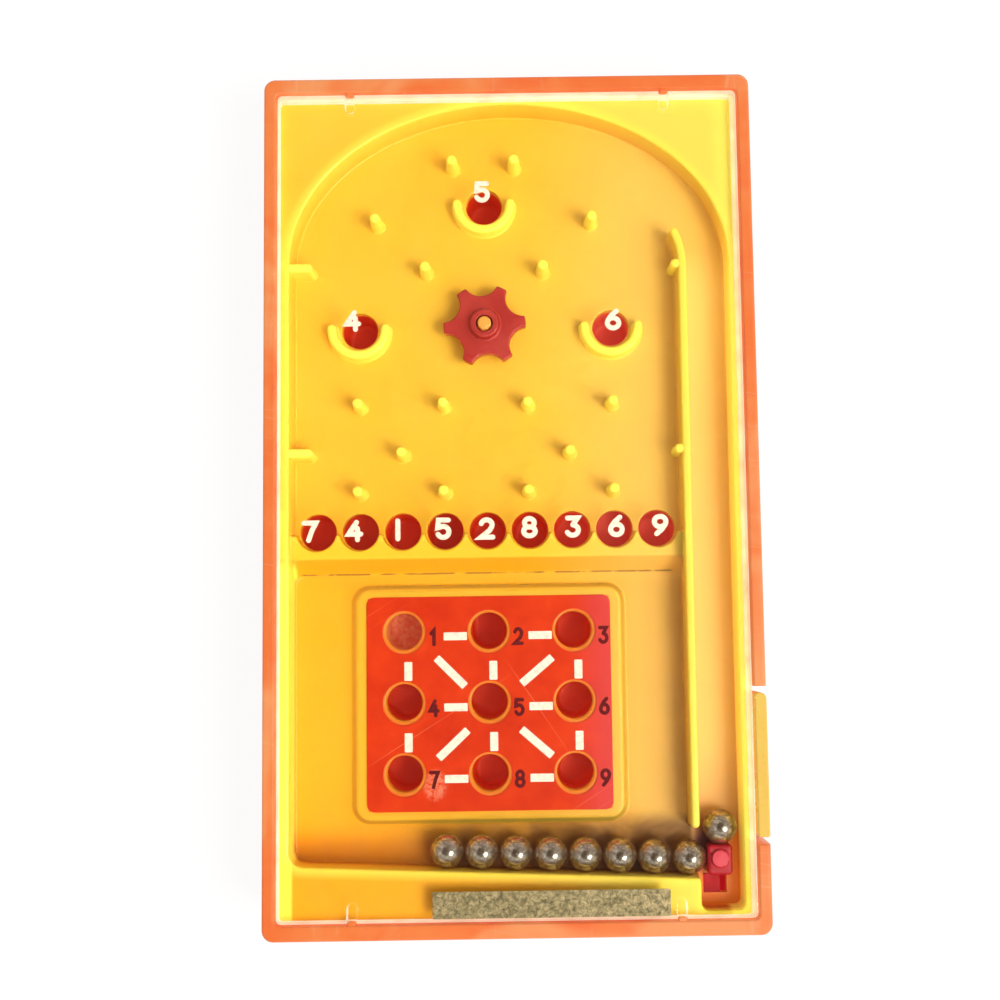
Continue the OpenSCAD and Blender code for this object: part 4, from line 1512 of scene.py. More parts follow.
@dataclass
class Case(SubAssembly):
    """The orange case with its rim, the notch for the lever, the guides of the hammer and the snap bumps."""

    wall: float = 1.7
    end_wall: float = 2.1
    back: float = 1.8
    corner_r: float = 1.6
    inner_r: float = 0.8
    rim_r: float = 0.45
    foot_r: float = 0.8
    play: float = 0.05
    sink: float = 0.2
    snap_w: float = 1.1
    snap_out: float = 0.45
    snap_in: float = 0.5
    snap_z: Pair = (16.7, 17.8)
    saddle: Pair = (-46.4, -44.6)
    saddle_half: float = 2.2
    saddle_side: float = 1.02
    saddle_top: float = 8.55
    saddle_floor: float = 1.2
    stop: tuple[Pair, Pair] = ((26.9, -25.07), (29.9, -23.67))
    stop_top: float = 7.2

    def build(self) -> None:
        """Builds the case as one piece."""
        lo, hi = self.layout.case
        w, l = hi.x - lo.x, hi.y - lo.y
        depth = hi.z - lo.z - self.back
        outer = round_box(w, l, self.corner_r, n=8)
        outline = self._outline(outer)
        inner = Profile.hollow(depth, 0.25, 0.3, 0.1)
        ground = Loop(tuple(outer), outer=True)
        rim = Form(ground, Profile.edge(self.rim_r), Mode.EDGE)
        foot = Form(ground, Profile.edge(self.foot_r), Mode.EDGE)
        solid = Solid(
            [Loop(tuple(outline))],
            pierced(outline, []),
            Surface(hi.z, [Form(Loop(self._cavity()), inner.lowered(depth), Mode.CUT), rim]),
            Surface(lo.z, [foot], -1),
        )
        self.place(solid.shape(), "case", "shell", "case_orange", [self.paints.case], ["case"])
        self._guides()

    @property
    def half(self) -> Vector:
        """Half of the width, length and height of the case."""
        lo, hi = self.layout.case
        return (hi - lo) / 2

    @property
    def cut_x(self) -> float:
        """Where the notch for the lever ends in the right wall."""
        return self.half.x - self.wall - self.play

    def _outline(self, outer: Sequence[Pair]) -> list[Pair]:
        """The outer outline with the notch for the lever in its right side."""
        y0, y1 = self.layout.notch
        x = self.half.x
        right_top = [p for p in outer if p[1] > 0 and p[0] > 0]
        left = [p for p in outer if p[0] < 0]
        right_low = [p for p in outer if p[1] < 0 and p[0] > 0]
        return [(x, y1), *right_top, *left, *right_low, (x, y0), (self.cut_x, y0), (self.cut_x, y1)]

    def _cavity(self) -> tuple[Pair, ...]:
        """Outline of the room inside the walls, which reaches out through the notch."""
        y0, y1 = self.layout.notch
        r = self.inner_r
        x, y = self.half.x - self.wall, self.half.y - self.end_wall
        out = self.half.x + 2
        return (
            *arc(x - r, y - r, r, 0, 90, 5), *arc(r - x, y - r, r, 90, 180, 5),
            *arc(r - x, r - y, r, 180, 270, 5), *arc(x - r, r - y, r, 270, 360, 5),
            (x, y0 + self.play), (out, y0 + self.play),
            (out, y1 - self.play), (x, y1 - self.play),
        )

    def _guides(self) -> None:
        """The snap bumps, the lug of the hinge, the saddle of the rod and the stop of the lever."""
        lay = self.layout
        low = self.back - self.sink
        parts = Shape()
        for side in (-1, 1):
            y = side * (self.half.y - self.end_wall)
            a, b = sorted((y + side * self.snap_in, y - side * self.snap_out))
            for x in lay.snaps:
                (z0, z1), half = self.snap_z, self.snap_w / 2
                parts.add(block((x - half, a, z0), (x + half, b, z1), 0.22))
        hy = lay.hinge[1]
        parts.add(block((self.cut_x - 0.5, hy - 1.2, 0.0), (self.half.x, hy + 0.9, self.back), 0.1))
        y0, y1 = self.saddle
        left, right = lay.rod_x - self.saddle_half, lay.rod_x + self.saddle_half
        for x in (left, right - self.saddle_side):
            parts.add(block((x, y0, low), (x + self.saddle_side, y1, self.saddle_top), 0.1))
        parts.add(block((left, y0, low), (right, y1, lay.rod_z - self.saddle_floor), 0.1))
        foot, top = self.stop
        parts.add(block((*foot, low), (*top, self.stop_top), 0.15))
        self.place(parts, "case_guides", "shell", "case_orange", [self.paints.case])


@dataclass
class Tray(SubAssembly):
    """The red tray under the board, with a channel from each hole of the row to its grid hole."""

    lanes: tuple[tuple[int, int, int], ...] = (
        (-4, -1, 3), (-3, -1, 2), (-2, -1, 1), (-1, 0, 2), (0, 0, 1),
        (1, 0, 3), (2, 1, 1), (3, 1, 2), (4, 1, 3),
    )
    lane_w: float = 5.1
    corner_r: float = 0.7
    cut: Pair = (24.95, -22)
    arm: tuple[Triple, Triple] = ((24.45, -56.75, 6.7), (26.5, -53.25, 8.57))
    key: tuple[Triple, Triple] = ((26.1, -55.4, 6.7), (28.4, -52.8, 10.18))
    key_base: tuple[Pair, Pair] = ((24.45, -57.0), (31.0, -52.0))
    key_base_top: float = 3.9

    def build(self) -> None:
        """Builds the tray, which leaves out the corner of the hammer, with its key."""
        lay = self.layout
        lo, hi = lay.tray
        top_z = lay.floor_z - lay.board_t
        x, y, r = hi.x, hi.y, self.corner_r
        cut_x, cut_y = self.cut
        outline = [
            *arc(x - r, y - r, r, 0, 90, 4), *arc(r - x, y - r, r, 90, 180, 4),
            *arc(r - x, r - y, r, 180, 270, 4), (cut_x, -y),
            (cut_x, cut_y), (x, cut_y),
        ]
        depth = top_z - hi.z
        sunk = Profile.hollow(depth, 0.2, 0.8, 0.1).lowered(depth)
        forms = [Form(Track(path, self.lane_w), sunk, Mode.CUT) for path in self._paths()]
        shape = plate(outline, lo.z, top_z, 0.1, top=forms)
        shape.add(block(*self.arm, 0.1))
        self.place(shape, "ball_tray", "shell", "tray_red", [self.paints.tray], ["tray_base", "ball_tray"])
        key = block(*self.key, 0.1)
        foot, top = self.key_base
        key.add(block((*foot, lo.z), (*top, self.key_base_top), 0.1), 1)
        self.place(key, "tray_key", "shell", "tray_red", [self.paints.key, self.paints.key_base])

    def _paths(self) -> list[tuple[Pair, ...]]:
        """Centre lines of the channels."""
        lay = self.layout
        out = []
        for step, column, line in self.lanes:
            x0 = lay.row_x(step)
            x1, y1 = lay.grid[3 * (line - 1) + column + 1]
            top = lay.cups[0][1] if abs(step) == 3 else lay.row_y
            if abs(x1 - x0) < 1:
                out.append(((x0, top), (x1, y1)))
            else:
                out.append(((x0, top), (x0, y1 + abs(x1 - x0)), (x1, y1)))
        x, y = lay.cups[1]
        bend = y - 12
        out.append(((x, y), (x, bend), (lay.row_x(-1), bend - lay.pitch), (lay.row_x(-1), lay.row_y)))
        return out


@dataclass
class Board(SubAssembly):
    """The yellow play board: floor, raised edge with the arch, divider, pins, pegs, cups, ledge and panel."""

    pins: tuple[Pair, ...] = (
        (4.45, 48.8), (15.5, 40.4), (8.4, 33.3), (6, 13.7),
        (18.05, 13.7), (11.9, 6.7), (6, 1.2), (18.05, 1.2),
    )
    pegs: Pair = (33.3, 6.7)
    pin_r: float = 0.86
    post_r: float = 0.97
    stroke: float = 1.4
    cup_r: float = 3.85
    soft: float = 0.42
    panel: Triple = (38.1, 32.85, 2.3)
    slot: tuple[Pair, ...] = (
        (26.05, -55.45), (29.3, -55.45), (29.3, -48.45),
        (28.45, -48.45), (28.45, -52.75), (26.05, -52.75),
    )

    def build(self) -> None:
        """Builds the board and the ear of its hinge."""
        lay = self.layout
        lo, hi = lay.edge
        outline = round_box(hi.x - lo.x, hi.y - lo.y, 0.7, n=5)
        row = self._row(lay.hole_r)
        holes: list[Outline] = [*row, *(Disc(x, y, lay.hole_r) for x, y in (*lay.cups, *lay.grid))]
        slot = Loop(self.slot)
        rounds = [Form(h, Profile.edge(0.12 if h in row else 0.22, 3), Mode.EDGE) for h in holes]
        rounds.append(Form(Loop(tuple(outline), outer=True), Profile.edge(0.2, 3), Mode.EDGE))
        solid = Solid(
            [Loop(tuple(outline)), slot, *holes],
            pierced(outline, [slot, *holes]),
            Surface(lay.floor_z, [*self._forms(), *rounds]),
            Surface(lay.board[0].z, [], -1),
        )
        shape = solid.shape()
        hx, hy = lay.hinge
        neck_x, neck = hi.x - 0.5, 0.65
        ear = [*arc(hx, hy, 0.8, -90, 90, 10), (neck_x, hy + neck), (neck_x, hy - neck)]
        bore = Disc(hx, hy, lay.hinge_r, 0.2)
        shape.add(plate(ear, lay.board[0].z, lay.floor_z, 0.05, [bore], hole_edge=0))
        self.place(shape, "board", "shell", "board_yellow", [self.paints.board], ["board", "board_edge"])

    def _forms(self) -> list[Form]:
        """Everything that stands on the floor of the board, in the order in which it is laid on."""
        lay = self.layout
        high = lay.edge_h
        divider = Track(tuple(self._divider()), lay.divider_w)
        panel_w, panel_l, panel_r = self.panel
        panel = round_box(panel_w, panel_l, panel_r, lay.field_cx, lay.panel_y, 6)
        return [
            *self._ledge(),
            Form(Loop(tuple(self._field())), Profile.hollow(high, 0.35, 0.3, 0.14, lip=1.2)),
            Form(divider, Profile.step(high, self.soft, 0.2, 0.14)),
            *self._posts(),
            Form(Disc(lay.star.x, lay.star.y, self.post_r, 0.25), Profile.step(high - 0.1, 0.3, 0.0, 0.0)),
            Form(Loop(tuple(panel)), Profile.step(1.0, 0.5, 0.3, 0.5)),
        ]

    def _ledge(self) -> list[Form]:
        """The ledge behind the row of holes, with the recess and the holes sunk into it."""
        lay = self.layout
        low, left, right = lay.low_wall, -33, lay.divider_x
        y0, y1 = lay.row_y - 9, lay.row_y - 0.55
        ledge = ((left, y0), (right, y0), (right, y1), (left, y1))
        return [
            Form(Loop(ledge), Profile.step(low, 0.3, 0.12, 0.1, lip=0.8)),
            Form(Loop(self._recess()), self._slope(low, 2.1, 0.45, 0.8), Mode.CUT),
            *(Form(d, Profile.hollow(low, 0.3, 0.02, 0.1), Mode.CUT) for d in self._row(lay.hole_r + 0.18)),
        ]

    def _posts(self) -> list[Form]:
        """The pins, the pegs in the walls of the field, and the cups."""
        lay = self.layout
        pin = Profile.step(lay.edge_h, 0.36, 0.2, 0.3)
        peg = Profile.step(lay.edge_h - 0.1, 0.45, 0.15, 0.14)
        cup = Profile.step(lay.low_wall, 0.45, 0.2, 0.14)
        forms = []
        for side in (-1, 1):
            for x, y in self.pins:
                forms.append(Form(Disc(lay.field_cx + side * x, y, self.pin_r, 0.25), pin, pale=True))
        for y in self.pegs:
            left = ((-lay.wall_x - 0.6, y), (2.5 - lay.wall_x, y))
            right = ((lay.field_right - 0.3, y), (lay.divider_x, y))
            forms += [Form(Track(path, self.stroke), peg, pale=True) for path in (left, right)]
        for x, y in lay.cups:
            path = tuple(arc(x, y, self.cup_r, 180, 360, 20))
            forms.append(Form(Track(path, self.stroke), cup, pale=True))
        return forms

    def _row(self, r: float) -> tuple[Disc, ...]:
        """The nine holes of the row with the given radius."""
        return tuple(Disc(self.layout.row_x(i), self.layout.row_y, r) for i in range(-4, 5))

    def _slope(self, rise: float, run: float, top_r: float, foot_r: float, n: int = 4) -> Profile:
        """A slope up from a floor at height zero.

        Args:
            rise: Its height.
            run: Its length.
            top_r: Radius of its upper edge.
            foot_r: Radius of the corner at its foot.
            n: Steps in each round.

        Returns:
            The profile, from the foot to the top.
        """
        a = math.degrees(math.atan2(rise, run))
        foot, top = foot_r * math.tan(math.radians(a / 2)), top_r * math.tan(math.radians(a / 2))
        turns = [a * k / n for k in range(n + 1)]
        rows = [(foot_r * sind(t) - foot, foot_r * (1 - cosd(t)), -t) for t in turns]
        rows += [(run + top - top_r * sind(t), rise - top_r * (1 - cosd(t)), -t) for t in reversed(turns)]
        return Profile(*zip(*rows))

    def _recess(self) -> tuple[Pair, ...]:
        """Outline of the recess, with round upper corners."""
        lay = self.layout
        x0, x1, y, r = -lay.wall_x, lay.field_right, lay.row_y - lay.recess_drop, 2.0
        below = -64.0
        return (
            *arc(x1 - r, y - r, r, 0, 90, 6), *arc(x0 + r, y - r, r, 90, 180, 6),
            (x0, below), (x1, below),
        )

    def _field(self) -> list[Pair]:
        """Outline of the sunk field, with the lane and the pocket of the hammer."""
        lay = self.layout
        w, r, d = lay.wall_x, 2.0, lay.divider_x
        pocket_r, pocket_y = 1.0, -56.0
        side = d + lay.divider_w / 2
        points = arc(r - w, lay.trough_y(r - w) + r / cosd(lay.trough_fall), r, 180, 270 - lay.trough_fall, 6)
        points += [
            (d - 0.05, lay.trough_y(d - 0.05)),
            (d + 0.55, lay.trough_y(d) - 0.15),
            (side, lay.trough_y(d) - 0.7),
            *arc(side + pocket_r, pocket_y, pocket_r, 180, 270, 4),
            *arc(w - pocket_r, pocket_y, pocket_r, 270, 360, 4),
        ]
        points += [(w * cosd(t), lay.arch_y + lay.arch_rise * sind(t)) for t in np.linspace(0, 180, 61)]
        return points

    def _divider(self) -> list[Pair]:
        """Centre line of the wall between field and lane, which bends inward at its upper end."""
        lay = self.layout
        bend = 10.2
        return [(lay.divider_x, -45.4), *arc(lay.divider_x - bend, lay.arch_y - 0.3, bend, 0, 26, 7)]


@dataclass
class Cover(SubAssembly):
    """The clear cover with its low walls and snap notches, and the numerals printed on it."""

    numerals: tuple[tuple[str, float, float], ...] = (
        ("7", -28.1, -4.5), ("4", -21.9, -4.5), ("I", -15.9, -4.45), ("5", -9.6, -4.35),
        ("2", -3.55, -4.4), ("8", 2.4, -4.3), ("3", 8.4, -4.3), ("6", 14.5, -4.3),
        ("9", 20.6, -4.25), ("4", -22.1, 25.2), ("5", -3.7, 43.6), ("6", 14.6, 24.9),
    )
    print_size: Triple = (2.4, 3.12, 0.7)
    corner_r: float = 0.7
    tongue_w: float = 1.3
    tongue_l: float = 1.95
    tongue_t: float = 1.0
    seat: float = 0.03

    def build(self) -> None:
        """Builds the cover and its numerals."""
        lay = self.layout
        lo, hi = lay.cover
        w, l = hi.x - lo.x, hi.y - lo.y
        under = hi.z - lay.cover_t
        tongues = self._tongues(l / 2)
        dent = Profile.hollow(self.tongue_t, 0.1, 0.1, 0.06, 3).lowered(self.tongue_t)
        wall = Profile.hollow(under - lo.z, 0.05, 0.08, 0.06, 3).lowered(under - lo.z)
        inner = Loop(tuple(round_box(w - 0.85, l - 0.85, 0.5, -0.225, -0.225, n=5)))
        shape = plate(
            round_box(w, l, self.corner_r, n=5),
            lo.z + self.seat,
            hi.z,
            0.12,
            top=[Form(tongue, dent, Mode.CUT) for tongue in tongues],
            bottom=[Form(inner, wall, Mode.CUT)],
        )
        shape.paint(self._milky(Vector((w / 2, l / 2, hi.z)), tongues))
        paints = [self.paints.clear, self.paints.frosted]
        self.place(shape, "cover", "shell", "cover_clear", paints, ["cover"])
        for i, (digit, x, y) in enumerate(self.numerals, 1):
            ink = numeral(digit, x, y, *self.print_size, under - 0.05, under - 0.015)
            self.place(ink, f"cover_numeral_{i}", "shell", "cover_clear", [self.paints.cream])

    def _tongues(self, end: float) -> list[Track]:
        """The four notches of the snaps, which reach in from the ends of the cover."""
        ways = [(x, side) for x in self.layout.snaps for side in (-1, 1)]
        paths = [((x, side * (end + 1)), (x, side * (end - self.tongue_l))) for x, side in ways]
        return [Track(path, self.tongue_w, 8) for path in paths]

    def _milky(self, corner: Vector, tongues: Sequence[Track]) -> Callable[[Points], Points]:
        """Picks the faces that look milky: the low walls and the sides of the notches.

        Args:
            corner: The upper right corner of the cover about its middle.
            tongues: The notches.

        Returns:
            A test that is true for the middles of milky faces.
        """
        wide, narrow = 0.7, 0.35

        def milky(at: Points) -> Points:
            """True in the right and upper walls, which look wider, in the others, and round the notches."""
            x, y, z = at.T
            walls = (x > corner.x - wide) | (x < narrow - corner.x)
            walls |= (y > corner.y - wide) | (y < narrow - corner.y)
            notch = np.min([t.distance(at[:, :2]) for t in tongues], axis=0) < 0.2
            sides = (z > corner.z - 0.94) & (z < corner.z - 0.04)
            return (walls & (z < corner.z - 0.01)) | (notch & sides)

        return milky


def numeral(digit: str, x: float, y: float, w: float, h: float, stroke: float, z0: float, z1: float) -> Shape:
    """One printed digit.

    Args:
        digit: The digit.
        x: X of its middle.
        y: Y of its middle.
        w: Its width over the strokes.
        h: Its height over the strokes.
        stroke: Width of the strokes.
        z0: Lower side of the print.
        z1: Upper side of the print.

    Returns:
        The print as a thin closed shape.
    """
    a, b = (w - stroke) / 2, (h - stroke) / 2
    paths = [tuple((x + a * u, y + b * v) for u, v in path) for path in GLYPHS[digit]]
    return strokes([Track(p, stroke, 6) for p in paths], z0, z1)


@dataclass
class Grid(SubAssembly):
    """The printed sticker around the nine grid holes."""

    corner_r: float = 1.1
    hole_r: float = 3.04
    hole_shift: Pair = (0.06, -0.12)
    digit_at: Pair = (4.2, -0.85)
    digit_size: Triple = (1.6, 2.55, 0.5)
    across: Triple = (7.3, -0.75, 3.3)
    down: Triple = (0.63, -5.6, 2.65)
    slanted: tuple[Triple, ...] = (
        (6.62, -5.77, -45), (18.78, -5.7, 40), (6.88, -15.84, 43), (18.63, -15.75, -41),
    )
    slanted_l: float = 5.7

    def build(self) -> None:
        """Builds the sticker with its digits and bars."""
        lay = self.layout
        lo, hi = lay.sticker
        cx, cy = (lo.x + hi.x) / 2, (lo.y + hi.y) / 2
        dx, dy = self.hole_shift
        holes = [Disc(x + dx, y + dy, self.hole_r) for x, y in lay.grid]
        outline = round_box(hi.x - lo.x, hi.y - lo.y, self.corner_r, cx, cy)
        sheet = plate(outline, lo.z, hi.z, 0.05, holes, hole_edge=0.05)
        self.place(sheet, "grid_sticker", "shell", "sticker_print", [self.paints.sticker], ["grid_sticker"])
        z0, z1 = hi.z + 0.002, hi.z + 0.02
        dx, dy = self.digit_at
        for i, (x, y) in enumerate(lay.grid, 1):
            ink = numeral(str(i), x + dx, y + dy, *self.digit_size, z0, z1)
            self.place(ink, f"grid_digit_{i}", "shell", "sticker_print", [self.paints.maroon])
        for i, outline in enumerate(self._bars(), 1):
            shape = strokes([outline], z0, z1)
            self.place(shape, f"grid_bar_{i}", "shell", "sticker_print", [self.paints.cream])

    def _bars(self) -> list[Loop]:
        """The bars between neighbours in a line, then between lines, then the slanted ones."""
        grid = self.layout.grid
        dx, dy, length = self.across
        bars = [bar(x + dx, y + dy, length, 0) for i, (x, y) in enumerate(grid) if i % 3 < 2]
        dx, dy, length = self.down
        bars += [bar(x + dx, y + dy, length, 90) for x, y in grid[:6]]
        x0, y0 = grid[0]
        return bars + [bar(x0 + x, y0 + y, self.slanted_l, turn) for x, y, turn in self.slanted]


def bar(x: float, y: float, length: float, turn: float, width: float = 1.12) -> Loop:
    """The outline of a printed bar about (x, y), turned by an angle in degrees."""
    c, s = cosd(turn), sind(turn)
    corners = round_box(length, width, 0.12, n=2)
    return Loop(tuple((x + u * c - v * s, y + u * s + v * c) for u, v in corners))


@dataclass
class Label(SubAssembly):
    """The bare foil strip at the lower end of the cover."""

    def build(self) -> None:
        """Builds the strip."""
        lo, hi = self.layout.label
        outline = round_box(hi.x - lo.x, hi.y - lo.y, 0.15, (lo.x + hi.x) / 2, (lo.y + hi.y) / 2, 3)
        strip = plate(outline, lo.z + 0.01, hi.z, 0.04)
        self.place(strip, "foil_label", "shell", "label_foil", [self.paints.foil], ["foil_label"])


@dataclass
class StarWheel(SubAssembly):
    """The red star wheel on the post of the board."""

    tips: int = 6
    tip_r: float = 5.9
    scallop_r: float = 2.6
    scallop_at: float = 6.8
    turn: float = 4.3
    lift: float = 1.7
    thickness: float = 1.8
    bore_r: float = 1.2
    hub_r: float = 2.1
    hub_up: float = 1.0
    hub_down: float = 1.5

    def build(self) -> None:
        """Builds the wheel."""
        lay = self.layout
        x, y, z = lay.star.x, lay.star.y, lay.floor_z + self.lift
        hub = Disc(x, y, self.hub_r, 0.3)
        shape = plate(
            soften(self._outline(x, y), 0.35, 25, 3),
            z,
            z + self.thickness,
            0.28,
            [Disc(x, y, self.bore_r, 0.25)],
            [Form(hub, Profile.step(self.hub_up, 0.25, 0.35, 0.1))],
            [Form(hub, Profile.step(self.hub_down, 0.1, 0.1, 0.1))],
        )
        self.place(shape, "star_wheel", "star_wheel", "star_red", [self.paints.star], ["star_wheel"])

    def _outline(self, x: float, y: float) -> list[Pair]:
        """The outline of the wheel about (x, y): its tips, with a scallop between each two.

        Args:
            x: X of the wheel's middle.
            y: Y of the wheel's middle.

        Returns:
            The points of the outline.
        """
        reach, span = self.tip_r, self.scallop_at
        cos_half = (reach**2 + span**2 - self.scallop_r**2) / (2 * reach * span)
        half = math.degrees(math.acos(cos_half))
        full = 360 / self.tips
        out = []
        for k in range(self.tips):
            tip = self.turn + full * k
            valley = tip + full / 2
            out += arc(x, y, reach, tip - full / 2 + half, valley - half, 3)
            cx, cy = x + span * cosd(valley), y + span * sind(valley)
            ends = [arc(x, y, reach, valley + side * half, 0, 1)[0] for side in (-1, 1)]
            start, end = (math.degrees(math.atan2(py - cy, px - cx)) % 360 for px, py in ends)
            if start < end:
                start += 360
            out += arc(cx, cy, self.scallop_r, start, end, 12)[1:-1]
        return out


@dataclass
class Lever(SubAssembly):
    """The yellow finger lever on its steel pin, with the crank arm inside."""

    thickness: float = 1.6
    low_y: float = -47.0
    knuckle_r: float = 0.9
    levels: tuple[float, ...] = (0.3, 2.0, 8.4, 10.4)
    nose: Pair = (28.39, -26.40)
    nose_r: float = 1.3
    arm_z: Pair = (3.2, 7.2)
    arm_w: float = 1.2
    pin_r: float = 0.4

    def build(self) -> None:
        """Builds the lever and its pin."""
        lay = self.layout
        hx, hy = lay.hinge
        foot, low, middle, high = self.levels
        shape = self._slab(high, lay.lever[1].z, True)
        for z0, z1, knuckle in ((low, middle, True), (middle, high, False), (foot, low, False)):
            shape.add(self._slab(z0, z1, knuckle))
        way = (Vector(self.nose) - Vector((hx, hy))).normalized()
        arm = Track(((hx + way.x, hy + way.y), self.nose), self.arm_w).contour(0)[0][0]
        shape.add(plate(arm.tolist()[::-1], *self.arm_z, 0.1))
        shape.add(plate(arc(*self.nose, self.nose_r, 0, 345, 23), *self.arm_z, 0.12))
        self.place(shape, "lever", "lever", "board_yellow", [self.paints.lever], ["lever"])
        r, bevel = self.pin_r, 0.04
        low, top = lay.pin[0].z, lay.pin[1].z
        pin = turned([(r - bevel, low), (r, low + bevel), (r, top - bevel), (r - bevel, top)], 20)
        pin = pin.moved(Matrix.Translation((hx, hy, 0)))
        self.place(pin, "lever_pin", "shell", "pin_steel", [self.paints.wire], ["lever_pin"])

    def _slab(self, z0: float, z1: float, knuckle: bool) -> Shape:
        """One layer of the lever.

        Args:
            z0: Height of its lower face.
            z1: Height of its upper face.
            knuckle: True where it reaches round the pin.

        Returns:
            The layer, with round edges only at the ends of the lever.
        """
        hx, hy = self.layout.hinge
        out_x, top_z = self.layout.lever[1].x, self.layout.lever[1].z
        x, y, r = out_x - self.thickness, self.low_y, 0.3
        if knuckle:
            end = [*arc(hx, hy, self.knuckle_r, 0, 180, 10), (x, hy)]
        else:
            end = [(out_x, hy - 1.5), (x, hy - 1.5)]
        outline = [*end, *arc(x + r, y + r, r, 180, 270, 3), *arc(out_x - r, y + r, r, 270, 360, 3)]
        upper = 0.2 if z1 == top_z else 0.0
        lower = 0.2 if z0 == self.levels[0] else 0.0
        bores = [Disc(hx, hy, self.layout.hinge_r, 0.2)] if knuckle and not upper else []
        return plate(outline, z0, z1, upper, bores, hole_edge=0.0, foot=lower)


@dataclass
class Hammer(SubAssembly):
    """The red hammer with its boss, neck and rod, and the spring that drives it."""

    head: Pair = (28.1, -50.55)
    head_size: Triple = (3.5, 4.2, 0.6)
    head_z: Pair = (10.35, 13.4)
    boss_y: float = -50.3
    boss_r: float = 1.2
    boss_up: float = 0.5
    neck: tuple[Pair, Pair] = ((28.55, -51.3), (29.15, -48.75))
    neck_top: float = 10.6
    rod_r: float = 1.1
    rod_ends: Pair = (-52.25, -27.73)
    collar_r: float = 2.0
    collar: Pair = (-29.83, -28.63)
    curls: int = 9
    wire_r: float = 0.2
    coil_r: float = 1.65
    wire_sides: int = 10
    coil_sides: int = 24

    def build(self) -> None:
        """Builds the hammer and the spring."""
        lay = self.layout
        x, y = self.head
        w, l, r = self.head_size
        low, high = self.head_z
        boss = Disc(x, self.boss_y, self.boss_r, 0.25)
        crown = Form(boss, Profile.step(self.boss_up, 0.15, 0.2, 0.06))
        shape = plate(round_box(w, l, r, x, y, 4), low, high, 0.5, top=[crown])
        # the top of the boss gets the pink painted highlight
        shape.paint(lambda at: (boss.distance(at[:, :2]) < 0.1) & (at[:, 2] > high + 0.1))
        foot, top = self.neck
        shape.add(block((*foot, lay.rod_z), (*top, self.neck_top), 0.08))
        lie_down = Matrix.Rotation(math.radians(-90), 4, "X")
        shape.add(turned(self._rod(), 32).moved(Matrix.Translation((lay.rod_x, 0, lay.rod_z)) @ lie_down))
        paints = [self.paints.hammer, self.paints.boss]
        self.place(shape, "hammer", "hammer", "hammer_red", paints, ["hammer"])
        self._spring()

    def _rod(self) -> list[Pair]:
        """Radius and place of each step of the rod, from its lower to its upper end."""
        (y0, y1), (low, high) = self.rod_ends, self.collar
        r, wide, bevel, edge = self.rod_r, self.collar_r, 0.2, 0.12
        return [
            (r - bevel, y0), (r, y0 + bevel), (r, low), (wide - edge, low), (wide, low + edge),
            (wide, high - edge), (wide - edge, high), (r, high), (r, y1 - bevel), (r - bevel, y1),
        ]

    def _spring(self) -> None:
        """One wire wound round the rod, fixed at the saddle and pushed at the collar."""
        lo, hi = self.layout.spring
        coil = self._coil(lo.y + self.wire_r, hi.y - self.wire_r)
        piece = coil.to_object("return_spring", [self.paints.wire])
        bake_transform(piece)
        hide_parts("return_spring")
        LOG.info("return_spring: %d faces", len(coil.faces))

    def _coil(self, y0: float, y1: float) -> Shape:
        """The wire of the spring, with its middle from y0 to y1.

        Args:
            y0: Y of the wire's middle at its first end.
            y1: Y of its middle at the other end.

        Returns:
            The closed shape of the wire.
        """
        shape, sides, rings = Shape(), self.wire_sides, self.coil_sides * self.curls
        x, z, r = self.layout.rod_x, self.layout.rod_z, self.coil_r
        climb = (y1 - y0) / (2 * math.pi * self.curls)
        normals: list[Vector] = []
        for k in range(rings + 1):
            t = math.radians(360 * k / self.coil_sides)
            centre = Vector((x + r * math.cos(t), y0 + (y1 - y0) * k / rings, z + r * math.sin(t)))
            out = Vector((math.cos(t), 0, math.sin(t)))
            over = Vector((-r * math.sin(t), climb, r * math.cos(t))).normalized().cross(out)
            for j in range(sides):
                a = 2 * math.pi * j / sides
                n = math.cos(a) * out + math.sin(a) * over
                shape.verts.append(tuple(centre + self.wire_r * n))
                normals.append(n)
        for k in range(rings):
            for j in range(sides):
                a, b = k * sides + j, k * sides + (j + 1) % sides
                quad = [a + sides, b + sides, b, a]
                shape.face(quad, [normals[c] for c in quad])
        first, last = list(range(sides)), [rings * sides + j for j in range(sides)]
        along = (Vector(shape.verts[sides]) - Vector(shape.verts[0])).normalized()
        shape.face(first, [-along] * sides)
        shape.face(last[::-1], [along] * sides)
        return shape


